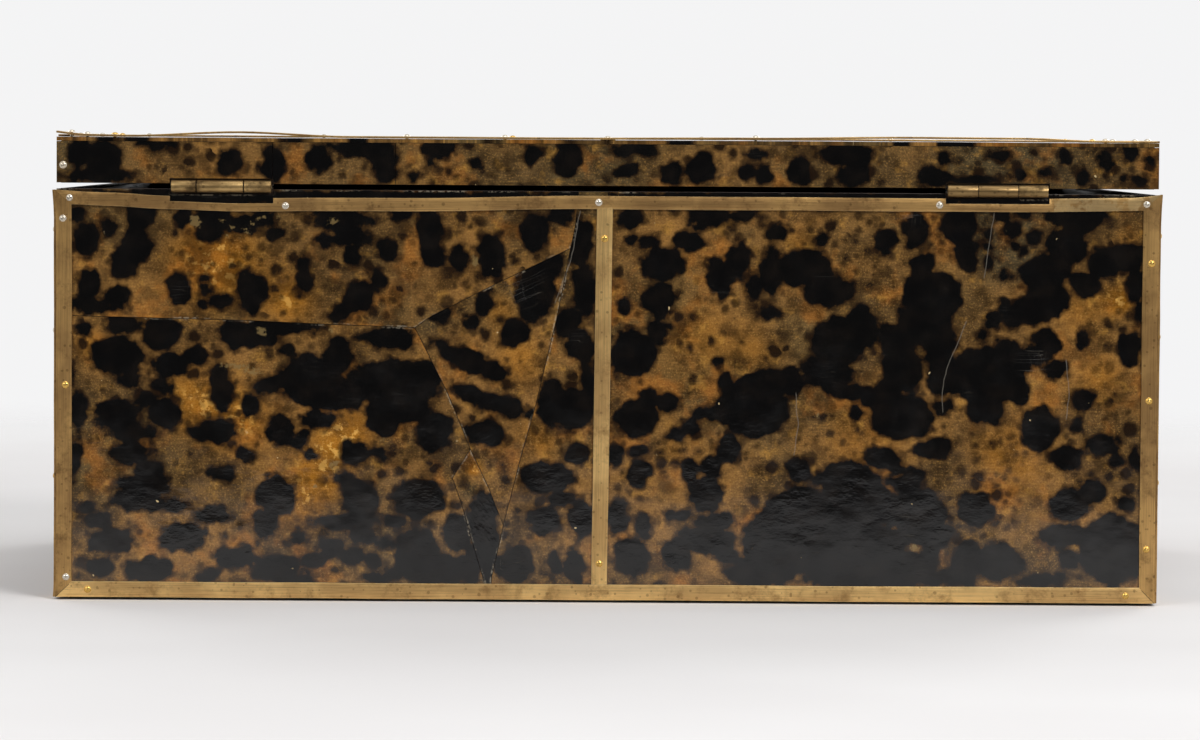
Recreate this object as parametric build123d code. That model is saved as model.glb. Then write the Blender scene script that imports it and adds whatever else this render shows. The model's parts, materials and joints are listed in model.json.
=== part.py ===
from build123d import *
import os

# Travel writing box: tortoiseshell plates on a wooden carcass, brass edge strips held by pins.
# Millimetres. Origin at the centre of the base on the table, +Z up.
# The hinge side faces -Y, the lock side faces +Y, and X runs along the length.

# Outer sizes over the shell plates
case_length = 419.0
case_depth = 269.0
case_height = 156.8
lid_height = 17.5
lid_gap = 2.0

# Boards, plates and cloths
board_t = 10.0
bottom_t = 8.0
lid_board_t = 6.0
shell_t = 1.5
base_cloth_t = 1.0
base_cloth_inset = 3.0
paper_t = 0.5
lining_edge_gap = 1.0

# Brass strips and their pins
strip_t = 0.8
strip_w = 6.0
top_strip_w = 5.0
top_strip_drop = 1.0
centre_strip_top_x = -1.05
centre_strip_foot_x = -2.35
pin_head_r = 1.5
pin_head_h = 0.8
pin_shank_r = 0.6
pin_shank_l = 6.0
pin_hole_play = 0.05
hole_overrun = 0.1
cut_overrun = 1.0
lid_edge_pin_in = 2.6
lid_edge_pin_up = 6.8

# Hinges: centre as a share of the half length, and the two outer knuckles of each
hinge_places = {"left": (-0.7, 9.7, 10.6), "right": (0.707, 11.6, 11.4)}
hinge_length = 38.1
barrel_r = 2.3
barrel_proud = 1.6
hinge_pin_r = 1.1
hinge_bore_play = 0.05
hinge_pin_inset = 0.2
knuckle_gap = 0.15
leaf_w = 11.4
leaf_play = 0.05
knuckle_relief = 0.4
hinge_notch_play = 0.6
strip_notch_play = 1.7
leaf_screw_edge = 4.2
leaf_screw_pitch = 14.0

# Countersunk screws
screw_head_r = 1.8
screw_head_h = 0.85
screw_shank_r = 0.9
screw_l = 8.0
screw_hole_play = 0.05
screw_slot_w = 0.5
screw_slot_d = 0.4

# Lock in the front board
lock_half_w = 26.8
lock_depth = 8.0
lock_h = 35.8
lock_play = 0.2
lock_wall = 1.2
lock_end_wall = 2.0
lock_cap_t = 1.0
lock_plate_half_w = 34.0
lock_plate_t = 0.9
lock_plate_inset = 1.0
lock_screw_out = 3.8
key_drop = 25.0
key_stem_r = 2.0
keyhole_r = 2.6
key_bit_r = 8.0
key_bit_t = 2.2
key_bit_l = 4.2
key_bit_back = 0.8
keyhole_slot_w = 3.0
keyhole_slot_play = 0.6
drill_pin_r = 0.8
drill_pin_l = 4.0
drill_pin_play = 0.1
key_stem_out = 16.0
key_collar_r = 3.0
key_collar_l = 1.6
key_collar_back = 6.0
key_tip_gap = 0.3
key_socket_spare = 1.0
bow_r = 9.0
bow_hole_r = 5.8
bow_t = 2.8
bow_edge_r = 0.8
bow_joint = 1.0
escutcheon_w = 26.0
escutcheon_t = 0.8
escutcheon_low = 16.0
escutcheon_corner_r = 6.0

# Bolt and the staples that it locks
staple_spacing = 24.0
staple_t = 3.0
staple_w = 5.0
staple_leg = 1.0
staple_drop = 11.9
staple_foot = 1.2
staple_slot_play = 0.6
eye_h = 3.8
beak_h = 2.8
beak_w = 2.2
beak_gap = 0.7
beak_reach = 5.8
bolt_post_w = 3.0
bolt_bar_h = 4.0
bolt_sweep_gap = 1.0
bolt_tail = 8.0
bolt_throw = 6.0
link_plate_half_w = 22.0
link_plate_w = 8.0
link_plate_t = 0.9
link_screw_edge = 3.4

# Till at the left end of the inside
till_w = 92.0
till_wall_t = 5.0
till_floor_t = 4.0
till_depth = 46.0
till_wall_drop = 5.0
till_groove = 2.0
partition_t = 4.0
wafer_w = 44.0
divider_back_l = 103.0
divider_t = 4.0
divider_drop = 0.6
ink_block_l = 38.0
ink_block_h = 20.0
bottle_w = 30.0
bottle_play = 0.4
bottle_h = 30.0
bottle_bore_r = 9.0
bottle_floor = 4.0
bottle_neck_r = 11.5
bottle_neck_h = 4.0
bottle_edge_r = 2.0
cap_r = 12.5
cap_wall = 0.9
cap_play = 0.1
cap_foot_gap = 0.2
pen_rest_l = 18.0
pen_rest_h = 16.0
pen_scallop_r = 5.0
pen_scallops = 3
cover_t = 3.0
cover_drop = 11.0
cover_play = 0.2
cover_groove = 2.0
cover_overlap = 2.0
knob_r = 4.0
knob_neck_r = 2.2
knob_h = 5.0
knob_edge_r = 0.8
knob_inset = 12.0
cover_stop_gap = 0.5

# Loose writing board in the paper well
board_play = 1.5
lift_stop_gap = 1.0
writing_board_t = 6.0
leather_t = 1.0
leather_inset = 12.0
notch_r = 11.0

# Sprung lid strip: lift above the lid at places along its length
lid_strip_lift = [
    (-1.0, 1.5), (-0.955, 0.4), (-0.87, 0.1), (-0.67, 1.7), (-0.47, 0.15), (-0.1, 0.1),
    (0.27, 0.5), (0.55, 1.2), (0.75, 1.1), (0.9, 0.1), (1.0, 0.1),
]

strip_curve_step = 9.0
sprung_head_play = 0.06

# Seams of the repaired left half of the back, as points (x, height)
seam_left_z = 108.4
seam_level = [(-139.5, 107.0), (-105.6, 105.6), (-73.0, 104.6)]
seam_rising = [(-73.0, 104.6), (-66.5, 109.2), (-53.6, 115.7), (-39.1, 123.0), (-14.0, 135.1)]
seam_falling = [(-73.0, 104.6), (-60.4, 79.6), (-51.7, 58.4)]
mend_inner = [(-51.7, 58.4), (-44.8, 43.9), (-39.0, 29.5)]
mend_right = [(-39.0, 29.5), (-39.9, 25.0), (-43.3, 9.8)]
mend_left = [(-51.7, 58.4), (-58.5, 47.3), (-54.7, 36.7), (-51.7, 26.1), (-46.7, 9.3)]
mend_foot_x = -44.1
seam_steep_head_x = -11.0
seam_steep_high = [(-12.2, 143.5), (-14.0, 135.1)]
seam_steep_low = [(-14.0, 135.1), (-19.0, 108.9), (-27.0, 75.1), (-32.7, 54.6), (-39.0, 29.5)]
back_plate_joint_x = 0.2
lid_back_joint_shares = (-0.608, -0.385)

# Sizes worked out from those above
half_length = case_length / 2
half_depth = case_depth / 2
hinges = {name: (share * half_length, a, b) for name, (share, a, b) in hinge_places.items()}
lid_back_joints = tuple(share * half_length for share in lid_back_joint_shares)
wood_x = half_length - shell_t
wood_y = half_depth - shell_t
inner_x = wood_x - board_t
inner_y = wood_y - board_t
foot_z = base_cloth_t
floor_z = foot_z + bottom_t
rim_z = case_height
lid_z = rim_z + lid_gap
lid_top_z = lid_z + lid_height
lid_board_z = lid_top_z - shell_t - lid_board_t
lid_shell_z = lid_top_z - shell_t
strip_low_z = foot_z
strip_high_z = rim_z - top_strip_drop
axis_y = -half_depth - barrel_proud
axis_z = rim_z + lid_gap / 2
key_z = rim_z - key_drop
lock_y = wood_y - board_t
lock_works_y = lock_y + lock_cap_t
lock_front_y = lock_y + lock_depth
bolt_y = (lock_works_y + lock_front_y - lock_wall) / 2
till_x = -inner_x + till_w
well_x = till_x + till_wall_t
wafer_x = -inner_x + wafer_w
pen_x = wafer_x + partition_t
ink_y = inner_y - ink_block_l
divider_y = -inner_y + divider_back_l
till_floor_z = rim_z - till_depth
till_wall_top = rim_z - till_wall_drop
cover_z = rim_z - cover_drop

os.makedirs("parts", exist_ok=True)
nodes = {}


# Building helpers

def slab(x0, x1, y0, y1, z0, z1):
    """A box between two corners."""
    return Pos((x0 + x1) / 2, (y0 + y1) / 2, (z0 + z1) / 2) * Box(x1 - x0, y1 - y0, z1 - z0)


def rod(radius, start, end):
    """A round rod from one point to another."""
    path = Vector(*end) - Vector(*start)
    plane = Plane(origin=start, z_dir=path)
    return plane * Cylinder(radius, path.length, align=(Align.CENTER, Align.CENTER, Align.MIN))


def upright_plate(outline, y, thickness):
    """A plate that stands in XZ, from a list of (x, z), and grows towards +Y."""
    wire = Wire.make_polygon([(x, y, z) for x, z in outline], close=True)
    return extrude(Face(wire), amount=thickness, dir=(0, 1, 0))


def end_plate(outline, x, thickness):
    """A plate that stands in YZ, from a list of (y, z), and grows towards +X."""
    wire = Wire.make_polygon([(x, y, z) for y, z in outline], close=True)
    return extrude(Face(wire), amount=thickness, dir=(1, 0, 0))


def flat_plate(outline, z, thickness):
    """A plate that lies flat, from a list of (x, y), and grows upwards."""
    wire = Wire.make_polygon([(x, y, z) for x, y in outline], close=True)
    return extrude(Face(wire), amount=thickness, dir=(0, 0, 1))


def group(solids):
    """Separate solids kept in one node."""
    return Compound([solid for shape in solids for solid in shape.solids()])


def cut_all(shape, tools):
    """Takes each tool out of the shape."""
    for tool in tools:
        shape = shape - tool
    return shape


def frame_strips(low_a, high_a, low_b, high_b, foot_w, head_w, side_w):
    """Outlines of four mitred strips round a rectangle: foot, head, low side and high side."""
    outer = [(low_a, low_b), (high_a, low_b), (high_a, high_b), (low_a, high_b)]
    inner = [(low_a + side_w, low_b + foot_w), (high_a - side_w, low_b + foot_w),
             (high_a - side_w, high_b - head_w), (low_a + side_w, high_b - head_w)]
    foot, high, head, low = [
        [outer[i], outer[i - 3], inner[i - 3], inner[i]] for i in range(4)]
    return foot, head, low, high


# Pins and screws

def pin(seat, outward, lift=0.0):
    """A round-headed pin whose head sits on the strip, its shank pointing inwards."""
    cap_r = (pin_head_r ** 2 + pin_head_h ** 2) / (2 * pin_head_h)
    dome = Pos(0, 0, pin_head_h - cap_r) * Sphere(cap_r)
    dome = dome & Pos(0, 0, pin_head_h / 2) * Box(4 * cap_r, 4 * cap_r, pin_head_h)
    down = (Align.CENTER, Align.CENTER, Align.MAX)
    shank = Cylinder(pin_shank_r, pin_shank_l + lift, align=down)
    return Plane(origin=seat, z_dir=outward) * (dome + shank)


def pin_hole(seat, outward, lift=0.0):
    """The hole that a pin's shank needs, from as high above the seat as the strip is lifted."""
    down = (Align.CENTER, Align.CENTER, Align.MAX)
    depth = pin_shank_l + lift + 2 * hole_overrun
    bore = Pos(0, 0, lift + hole_overrun) * Cylinder(pin_shank_r + pin_hole_play, depth, align=down)
    return Plane(origin=seat, z_dir=outward) * bore


def screw(seat, outward):
    """A countersunk screw with its slotted head flush at the seat."""
    down = (Align.CENTER, Align.CENTER, Align.MAX)
    head = Cone(screw_shank_r, screw_head_r, screw_head_h, align=down)
    shank = Cylinder(screw_shank_r, screw_l, align=down)
    slot = Pos(0, 0, -screw_slot_d / 2) * Box(3 * screw_head_r, screw_slot_w, screw_slot_d)
    return Plane(origin=seat, z_dir=outward) * (head + shank - slot)


def screw_hole(seat, outward):
    """The countersunk hole for one screw."""
    down = (Align.CENTER, Align.CENTER, Align.MAX)
    play = screw_hole_play
    head = Cone(screw_shank_r + play, screw_head_r + play, screw_head_h, align=down)
    shank = Cylinder(screw_shank_r + play, screw_l + hole_overrun, align=down)
    return Plane(origin=seat, z_dir=outward) * (head + shank)


# Places of the pins: the back's and the lid's rear row follow the photograph, as shares of the faces
# or distances from their ends, and the others are spaced evenly

back_skin = -half_depth - strip_t
front_skin = half_depth + strip_t
left_skin = -half_length - strip_t
right_skin = half_length + strip_t
top_row_z = strip_high_z - top_strip_w / 2
foot_row_z = strip_low_z + strip_w / 2
side_row_x = half_length - strip_w / 2
side_row_y = half_depth - strip_w / 2

back_pin_places = [
    (-side_row_x + 2.1, top_row_z), (-0.584 * half_length, top_row_z - 0.4),
    (-0.016 * half_length, top_row_z),
    (0.602 * half_length, top_row_z), (side_row_x - 1.7, top_row_z),
    (-side_row_x + 9.1, foot_row_z), (side_row_x - 8.1, foot_row_z),
    (-side_row_x - 0.4, 0.927 * rim_z), (-side_row_x + 0.6, 0.523 * rim_z),
    (-side_row_x + 0.8, 0.055 * rim_z),
    (side_row_x + 0.4, 0.834 * rim_z), (side_row_x, 0.5 * rim_z), (side_row_x - 0.4, 0.139 * rim_z),
    (centre_strip_top_x, 0.886 * rim_z), (centre_strip_foot_x, 0.096 * rim_z),
]
back_pins = [((x, back_skin, z), (0, -1, 0)) for x, z in back_pin_places]

front_row_x = [side_row_x * share for share in (-0.98, -0.62, -0.3, 0.3, 0.62, 0.98)]
front_side_z = [rim_z * share for share in (0.14, 0.5, 0.84)]
front_pins = [((x, front_skin, z), (0, 1, 0)) for x in front_row_x for z in (foot_row_z, top_row_z)]
front_pins += [((s * side_row_x, front_skin, z), (0, 1, 0)) for s in (-1, 1) for z in front_side_z]
front_pins += [((0, front_skin, rim_z * share), (0, 1, 0)) for share in (0.1, 0.62)]

end_row_y = [side_row_y * share for share in (-0.97, -0.34, 0.34, 0.97)]
end_side_z = [rim_z * share for share in (0.3, 0.655, 0.9)]
end_pins = []
for skin, side in ((left_skin, -1), (right_skin, 1)):
    end_pins += [((skin, y, z), (side, 0, 0)) for y in end_row_y for z in (foot_row_z, top_row_z)]
    end_pins += [((skin, s * side_row_y, z), (side, 0, 0)) for s in (-1, 1) for z in end_side_z]

lid_skin = lid_top_z + strip_t
lid_back_row = [inset - half_length for inset in (5.5, 11.5, 22.0)]
lid_back_row += [half_length * share for share in (-0.365, -0.187, 0.268)]
lid_back_row += [half_length - inset for inset in (20.3, 4.3)]
lid_front_row = [side_row_x * share for share in (-0.97, -0.6, -0.2, 0.2, 0.6, 0.97)]
lid_side_row = [side_row_y * share for share in (-0.6, 0.0, 0.6)]
lid_back_pin = ((lid_edge_pin_in - half_length, -half_depth, lid_z + lid_edge_pin_up), (0, -1, 0))


def strip_lift(x):
    """Height of the sprung back strip above the lid at a place along its length."""
    for (a, low), (b, high) in zip(lid_strip_lift, lid_strip_lift[1:]):
        if x <= b * half_length:
            share = (x - a * half_length) / ((b - a) * half_length)
            return low + (high - low) * share * share * (3 - 2 * share)
    return lid_strip_lift[-1][1]


def head_lift(x):
    """Lift that clears the strip under the whole of a pin's head."""
    return max(strip_lift(x + side * pin_head_r) for side in (-1, 0, 1)) + sprung_head_play


lid_pins = [((x, -side_row_y, lid_skin), (0, 0, 1), head_lift(x)) for x in lid_back_row]
lid_pins += [((x, side_row_y, lid_skin), (0, 0, 1), 0.0) for x in lid_front_row]
lid_pins += [((s * side_row_x, y, lid_skin), (0, 0, 1), 0.0) for s in (-1, 1) for y in lid_side_row]
lid_pins += [((0, y, lid_skin), (0, 0, 1), 0.0) for y in lid_side_row]

back_holes = [pin_hole(seat, out) for seat, out in back_pins]
front_holes = [pin_hole(seat, out) for seat, out in front_pins]
left_holes = [pin_hole(seat, out) for seat, out in end_pins if out[0] < 0]
right_holes = [pin_hole(seat, out) for seat, out in end_pins if out[0] > 0]
lid_holes = [pin_hole(seat, out, lift) for seat, out, lift in lid_pins]
lid_back_hole = pin_hole(*lid_back_pin)

# Places of the screws
leaf_row_y = axis_y + leaf_w - leaf_screw_edge
hinge_screw_x = [mid + side * leaf_screw_pitch for mid, a, b in hinges.values() for side in (-1, 0, 1)]
case_screws = [((x, leaf_row_y, axis_z - leaf_play), (0, 0, 1)) for x in hinge_screw_x]
lock_screw_x = lock_half_w + lock_screw_out
case_screws += [((s * lock_screw_x, bolt_y, rim_z + lock_plate_t), (0, 0, 1)) for s in (-1, 1)]
lid_screws = [((x, leaf_row_y, axis_z + leaf_play), (0, 0, -1)) for x in hinge_screw_x]
link_screw_x = link_plate_half_w - link_screw_edge
lid_screws += [((s * link_screw_x, bolt_y, lid_z - link_plate_t), (0, 0, -1)) for s in (-1, 1)]
case_screw_holes = [screw_hole(seat, out) for seat, out in case_screws]
lid_screw_holes = [screw_hole(seat, out) for seat, out in lid_screws]


# Wooden carcass

def keyhole(y0, y1):
    """The keyhole through everything between two planes."""
    half = keyhole_slot_w / 2
    slot = slab(-half, half, y0, y1, key_z - key_bit_r - keyhole_slot_play, key_z)
    return rod(keyhole_r, (0, y0, key_z), (0, y1, key_z)) + slot


def build_carcass():
    inset = base_cloth_inset
    nodes["base_cloth"] = slab(
        -wood_x + inset, wood_x - inset, -wood_y + inset, wood_y - inset, 0, base_cloth_t)
    all_holes = back_holes + front_holes + left_holes + right_holes
    nodes["bottom_board"] = cut_all(slab(-wood_x, wood_x, -wood_y, wood_y, foot_z, floor_z), all_holes)
    floor_groove = slab(
        -inner_x - till_groove, till_x, -inner_y - till_groove, inner_y + till_groove,
        till_floor_z - till_floor_t, till_floor_z)
    wall_groove = slab(
        till_x, well_x, -inner_y - till_groove, inner_y + till_groove,
        till_floor_z - till_floor_t, till_wall_top)
    partition_groove = slab(
        wafer_x, pen_x, -inner_y - till_groove, 0, till_floor_z, till_wall_top)
    cover_slot = slab(
        -inner_x - cover_groove, 0, -inner_y, ink_y, cover_z - cover_play, cover_z + cover_t + cover_play)
    grooves = [floor_groove, wall_groove, partition_groove]
    back = slab(-wood_x, wood_x, -wood_y, -inner_y, floor_z, rim_z)
    nodes["back_board"] = cut_all(back, grooves + back_holes + left_holes + right_holes + case_screw_holes)
    mortise = slab(
        -lock_half_w - lock_play, lock_half_w + lock_play, lock_y, lock_front_y + lock_play,
        rim_z - lock_h - lock_play, rim_z)
    front = slab(-wood_x, wood_x, inner_y, wood_y, floor_z, rim_z)
    front = cut_all(front, grooves + [mortise, keyhole(lock_front_y, wood_y)])
    nodes["front_board"] = cut_all(front, front_holes + left_holes + right_holes + case_screw_holes)
    left = slab(-wood_x, -inner_x, -inner_y, inner_y, floor_z, rim_z)
    nodes["left_board"] = cut_all(left, [floor_groove, cover_slot] + left_holes)
    right = slab(inner_x, wood_x, -inner_y, inner_y, floor_z, rim_z)
    nodes["right_board"] = cut_all(right, right_holes)


# Shell plates

def hinge_notches(low, high, play, y0, y1):
    """Room for both barrels in a plate or strip."""
    half = hinge_length / 2 + play
    return [slab(mid - half, mid + half, y0, y1, low, high) for mid, a, b in hinges.values()]


def build_shell():
    y = -half_depth
    low = foot_z
    barrel_room = hinge_notches(axis_z - barrel_r - hinge_notch_play, rim_z, hinge_notch_play, y, -wood_y)
    tools = back_holes + barrel_room
    joint = back_plate_joint_x
    left = -half_length
    mend_foot = (mend_foot_x, low)
    seam_head = (seam_steep_head_x, rim_z)
    outlines = {
        "shell_back_right": [(joint, low), (half_length, low), (half_length, rim_z), (joint, rim_z)],
        "shell_back_upper_left": [(left, seam_left_z)] + seam_level + seam_rising[1:]
        + [seam_steep_high[0], seam_head, (left, rim_z)],
        "shell_back_lower_left": [(left, seam_left_z)] + seam_level + seam_falling[1:]
        + mend_left[1:] + [mend_foot, (left, low)],
        "shell_back_wedge": seam_rising + seam_steep_low[1:] + mend_inner[-2::-1] + seam_falling[1:-1][::-1],
        "shell_back_mend": mend_inner + mend_right[1:] + [mend_foot] + mend_left[:0:-1],
        "shell_back_centre": [seam_head] + seam_steep_high + seam_steep_low[1:] + mend_right[1:]
        + [mend_foot, (joint, low), (joint, rim_z)],
    }
    for name, outline in outlines.items():
        nodes[name] = cut_all(upright_plate(outline, y, shell_t), tools)
    front_tools = front_holes + [keyhole(wood_y, half_depth)]
    nodes["shell_front_left"] = cut_all(slab(-half_length, 0, wood_y, half_depth, low, rim_z), front_tools)
    nodes["shell_front_right"] = cut_all(slab(0, half_length, wood_y, half_depth, low, rim_z), front_tools)
    nodes["shell_left_end"] = cut_all(
        slab(-half_length, -wood_x, -wood_y, wood_y, low, rim_z), left_holes)
    nodes["shell_right_end"] = cut_all(
        slab(wood_x, half_length, -wood_y, wood_y, low, rim_z), right_holes)


# Brass strips on the case

def build_strips():
    outlines = frame_strips(
        -half_length, half_length, strip_low_z, strip_high_z, strip_w, top_strip_w, strip_w)
    half = strip_w / 2
    centre = [
        (centre_strip_foot_x - half, strip_low_z + strip_w),
        (centre_strip_foot_x + half, strip_low_z + strip_w),
        (centre_strip_top_x + half, strip_high_z - top_strip_w),
        (centre_strip_top_x - half, strip_high_z - top_strip_w),
    ]
    notch_z = axis_z - barrel_r - strip_notch_play
    barrel_room = hinge_notches(notch_z, rim_z, hinge_notch_play, back_skin, -half_depth)
    names = ("bottom", "top", "left", "right", "centre")
    for name, outline in zip(names, outlines + (centre,)):
        strip = upright_plate(outline, back_skin, strip_t)
        nodes["strip_back_" + name] = cut_all(strip, back_holes + barrel_room)
    escutcheon_foot = key_z - escutcheon_low
    centre = [(-half, strip_low_z + strip_w), (half, strip_low_z + strip_w), (half, escutcheon_foot),
              (-half, escutcheon_foot)]
    front = [cut_all(upright_plate(o, half_depth, strip_t), front_holes) for o in outlines + (centre,)]
    nodes["strips_front"] = group(front)
    outlines = frame_strips(
        -half_depth, half_depth, strip_low_z, strip_high_z, strip_w, top_strip_w, strip_w)
    ends = [cut_all(end_plate(o, left_skin, strip_t), left_holes) for o in outlines]
    ends += [cut_all(end_plate(o, half_length, strip_t), right_holes) for o in outlines]
    nodes["strips_ends"] = group(ends)
    nodes["pins_case"] = group([pin(seat, out) for seat, out in back_pins + front_pins + end_pins])


# Lid

def sprung_strip():
    """The lid's back strip, which has sprung up in bows between its pins."""
    low_y = -half_depth
    steps = round(case_length / strip_curve_step)
    places = [-half_length + case_length * step / steps for step in range(steps + 1)]
    under = [Vector(x, low_y, lid_top_z + strip_lift(x)) for x in places]
    over = [point + Vector(0, 0, strip_t) for point in under]
    foot = Spline(under)
    head = Spline(over)
    ends = [Line(under[0], over[0]), Line(under[-1], over[-1])]
    side = Face(Wire([foot, ends[1], head, ends[0]]))
    return extrude(side, amount=strip_w, dir=(0, 1, 0))


def build_lid():
    rail = slab(-wood_x, wood_x, -wood_y, -inner_y, lid_z, lid_board_z)
    nodes["lid_rail_back"] = cut_all(rail, lid_screw_holes + [lid_back_hole])
    rail = slab(-wood_x, wood_x, inner_y, wood_y, lid_z, lid_board_z)
    nodes["lid_rail_front"] = cut_all(rail, lid_screw_holes)
    rails = [slab(*sorted((s * inner_x, s * wood_x)), -inner_y, inner_y, lid_z, lid_board_z) for s in (-1, 1)]
    nodes["lid_rails_ends"] = group(rails)
    board = slab(-wood_x, wood_x, -wood_y, wood_y, lid_board_z, lid_shell_z)
    nodes["lid_board"] = cut_all(board, lid_holes)
    edge = lining_edge_gap
    nodes["lid_lining"] = slab(
        -inner_x + edge, inner_x - edge, -inner_y + edge, inner_y - edge, lid_board_z - paper_t, lid_board_z)
    tops = [slab(*span, -half_depth, half_depth, lid_shell_z, lid_top_z)
            for span in ((-half_length, 0), (0, half_length))]
    nodes["shell_lid_top"] = group([cut_all(top, lid_holes) for top in tops])
    joints = (-half_length,) + lid_back_joints + (half_length,)
    barrel_room = hinge_notches(
        lid_z, axis_z + barrel_r + hinge_notch_play, hinge_notch_play, -half_depth, -wood_y)
    backs = [slab(a, b, -half_depth, -wood_y, lid_z, lid_shell_z) for a, b in zip(joints, joints[1:])]
    nodes["shell_lid_back"] = group([cut_all(back, barrel_room + [lid_back_hole]) for back in backs])
    sides = [slab(-half_length, half_length, wood_y, half_depth, lid_z, lid_shell_z)]
    sides += [slab(*sorted((s * wood_x, s * half_length)), -wood_y, wood_y, lid_z, lid_shell_z)
              for s in (-1, 1)]
    nodes["shell_lid_sides"] = group(sides)
    half = strip_w / 2
    front = [(-half_length, half_depth), (half_length, half_depth),
             (half_length - strip_w, half_depth - strip_w), (-half_length + strip_w, half_depth - strip_w)]
    left = [(-half_length, half_depth), (-half_length + strip_w, half_depth - strip_w),
            (-half_length + strip_w, -half_depth + strip_w), (-half_length, -half_depth + strip_w)]
    right = [(-x, y) for x, y in left]
    centre = [(-half, half_depth - strip_w), (half, half_depth - strip_w),
              (half, -half_depth + strip_w), (-half, -half_depth + strip_w)]
    strips = [flat_plate(outline, lid_top_z, strip_t) for outline in (front, left, right, centre)]
    strips.append(sprung_strip())
    nodes["strips_lid"] = group([cut_all(strip, lid_holes) for strip in strips])
    pins = [pin(Vector(*seat) + Vector(0, 0, lift), out, lift) for seat, out, lift in lid_pins]
    nodes["pins_lid"] = group(pins + [pin(*lid_back_pin)])


# Hinges

def axle(radius, x0, x1):
    """A round rod on the hinge axis."""
    return rod(radius, (x0, axis_y, axis_z), (x1, axis_y, axis_z))


def build_hinges():
    pins = []
    relief_r = barrel_r + knuckle_relief
    for name, (mid, first, last) in hinges.items():
        x0 = mid - hinge_length / 2
        x1 = mid + hinge_length / 2
        inner_a = x0 + first
        inner_b = x1 - last
        bore = axle(hinge_pin_r + hinge_bore_play, x0 - cut_overrun, x1 + cut_overrun)
        plate = slab(x0, x1, axis_y, axis_y + leaf_w, rim_z, axis_z - leaf_play)
        leaf = plate - axle(relief_r, inner_a - knuckle_gap, inner_b + knuckle_gap)
        leaf = leaf + axle(barrel_r, x0, inner_a - knuckle_gap) + axle(barrel_r, inner_b + knuckle_gap, x1)
        nodes["hinge_leaf_case_" + name] = cut_all(leaf - bore, case_screw_holes)
        plate = slab(x0, x1, axis_y, axis_y + leaf_w, axis_z + leaf_play, lid_z)
        end_rooms = [axle(relief_r, x0 - cut_overrun, inner_a), axle(relief_r, inner_b, x1 + cut_overrun)]
        leaf = cut_all(plate, end_rooms) + axle(barrel_r, inner_a, inner_b)
        nodes["hinge_leaf_lid_" + name] = cut_all(leaf - bore, lid_screw_holes)
        pins.append(axle(hinge_pin_r, x0 + hinge_pin_inset, x1 - hinge_pin_inset))
    nodes["hinge_pins"] = group(pins)


# Lock

staple_low_z = lid_z - link_plate_t - staple_drop
eye_z = staple_low_z + staple_foot
beak_z = eye_z + (eye_h - beak_h) / 2
bar_z = key_z + key_bit_r + bolt_sweep_gap
staple_x = (-staple_spacing / 2, staple_spacing / 2)


def build_lock():
    top = rim_z
    low = rim_z - lock_h
    w = lock_half_w
    inside_w = w - lock_end_wall
    case = slab(-w, w, lock_works_y, lock_front_y, low, top)
    plate_y = (lock_works_y, wood_y - lock_plate_inset)
    case = case + slab(-lock_plate_half_w, lock_plate_half_w, *plate_y, top, top + lock_plate_t)
    works = slab(-inside_w, inside_w, lock_works_y, lock_front_y - lock_wall,
                 low + lock_wall, top - lock_wall)
    half_y = staple_w / 2 + staple_slot_play
    half_x = staple_t / 2 + staple_slot_play
    slots = [slab(x - half_x, x + half_x, bolt_y - half_y, bolt_y + half_y, bar_z + bolt_bar_h,
                  top + lock_plate_t + cut_overrun) for x in staple_x]
    case = cut_all(case, [works, keyhole(lock_front_y - lock_wall, lock_front_y)] + slots)
    nodes["lock_case"] = cut_all(case, case_screw_holes)
    cap = slab(-w, w, lock_y, lock_works_y, low, top)
    drill_pin = rod(drill_pin_r, (0, lock_works_y, key_z), (0, lock_works_y + drill_pin_l, key_z))
    nodes["lock_cap"] = cap + drill_pin
    nodes["screws_case"] = group([screw(seat, out) for seat, out in case_screws])
    nodes["screws_lid"] = group([screw(seat, out) for seat, out in lid_screws])

    half = escutcheon_w / 2
    shield = slab(-half, half, half_depth, half_depth + escutcheon_t,
                  key_z - escutcheon_low, strip_high_z - top_strip_w)
    corners = shield.edges().filter_by(Axis.Y).group_by(Axis.Z)[0]
    hole = keyhole(half_depth - cut_overrun, half_depth + escutcheon_t + cut_overrun)
    nodes["escutcheon"] = fillet(corners, escutcheon_corner_r) - hole

    link = slab(-link_plate_half_w, link_plate_half_w, bolt_y - link_plate_w / 2,
                bolt_y + link_plate_w / 2, lid_z - link_plate_t, lid_z)
    for x in staple_x:
        staple = slab(x - staple_t / 2, x + staple_t / 2, bolt_y - staple_w / 2, bolt_y + staple_w / 2,
                      staple_low_z, lid_z - link_plate_t)
        eye_half = staple_w / 2 - staple_leg
        eye = slab(x - staple_t, x + staple_t, bolt_y - eye_half, bolt_y + eye_half, eye_z, eye_z + eye_h)
        link = link + (staple - eye)
    nodes["link_plate"] = cut_all(link, lid_screw_holes)


def build_bolt():
    half = beak_w / 2
    posts = [x - staple_t / 2 - beak_gap - beak_reach for x in staple_x]
    bar = slab(posts[0] - bolt_post_w, posts[1] + bolt_tail, bolt_y - half, bolt_y + half,
               bar_z, bar_z + bolt_bar_h)
    for x in posts:
        bar = bar + slab(x - bolt_post_w, x, bolt_y - half, bolt_y + half, bar_z, beak_z + beak_h)
        bar = bar + slab(x, x + beak_reach, bolt_y - half, bolt_y + half, beak_z, beak_z + beak_h)
    nodes["lock_bolt"] = bar


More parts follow.
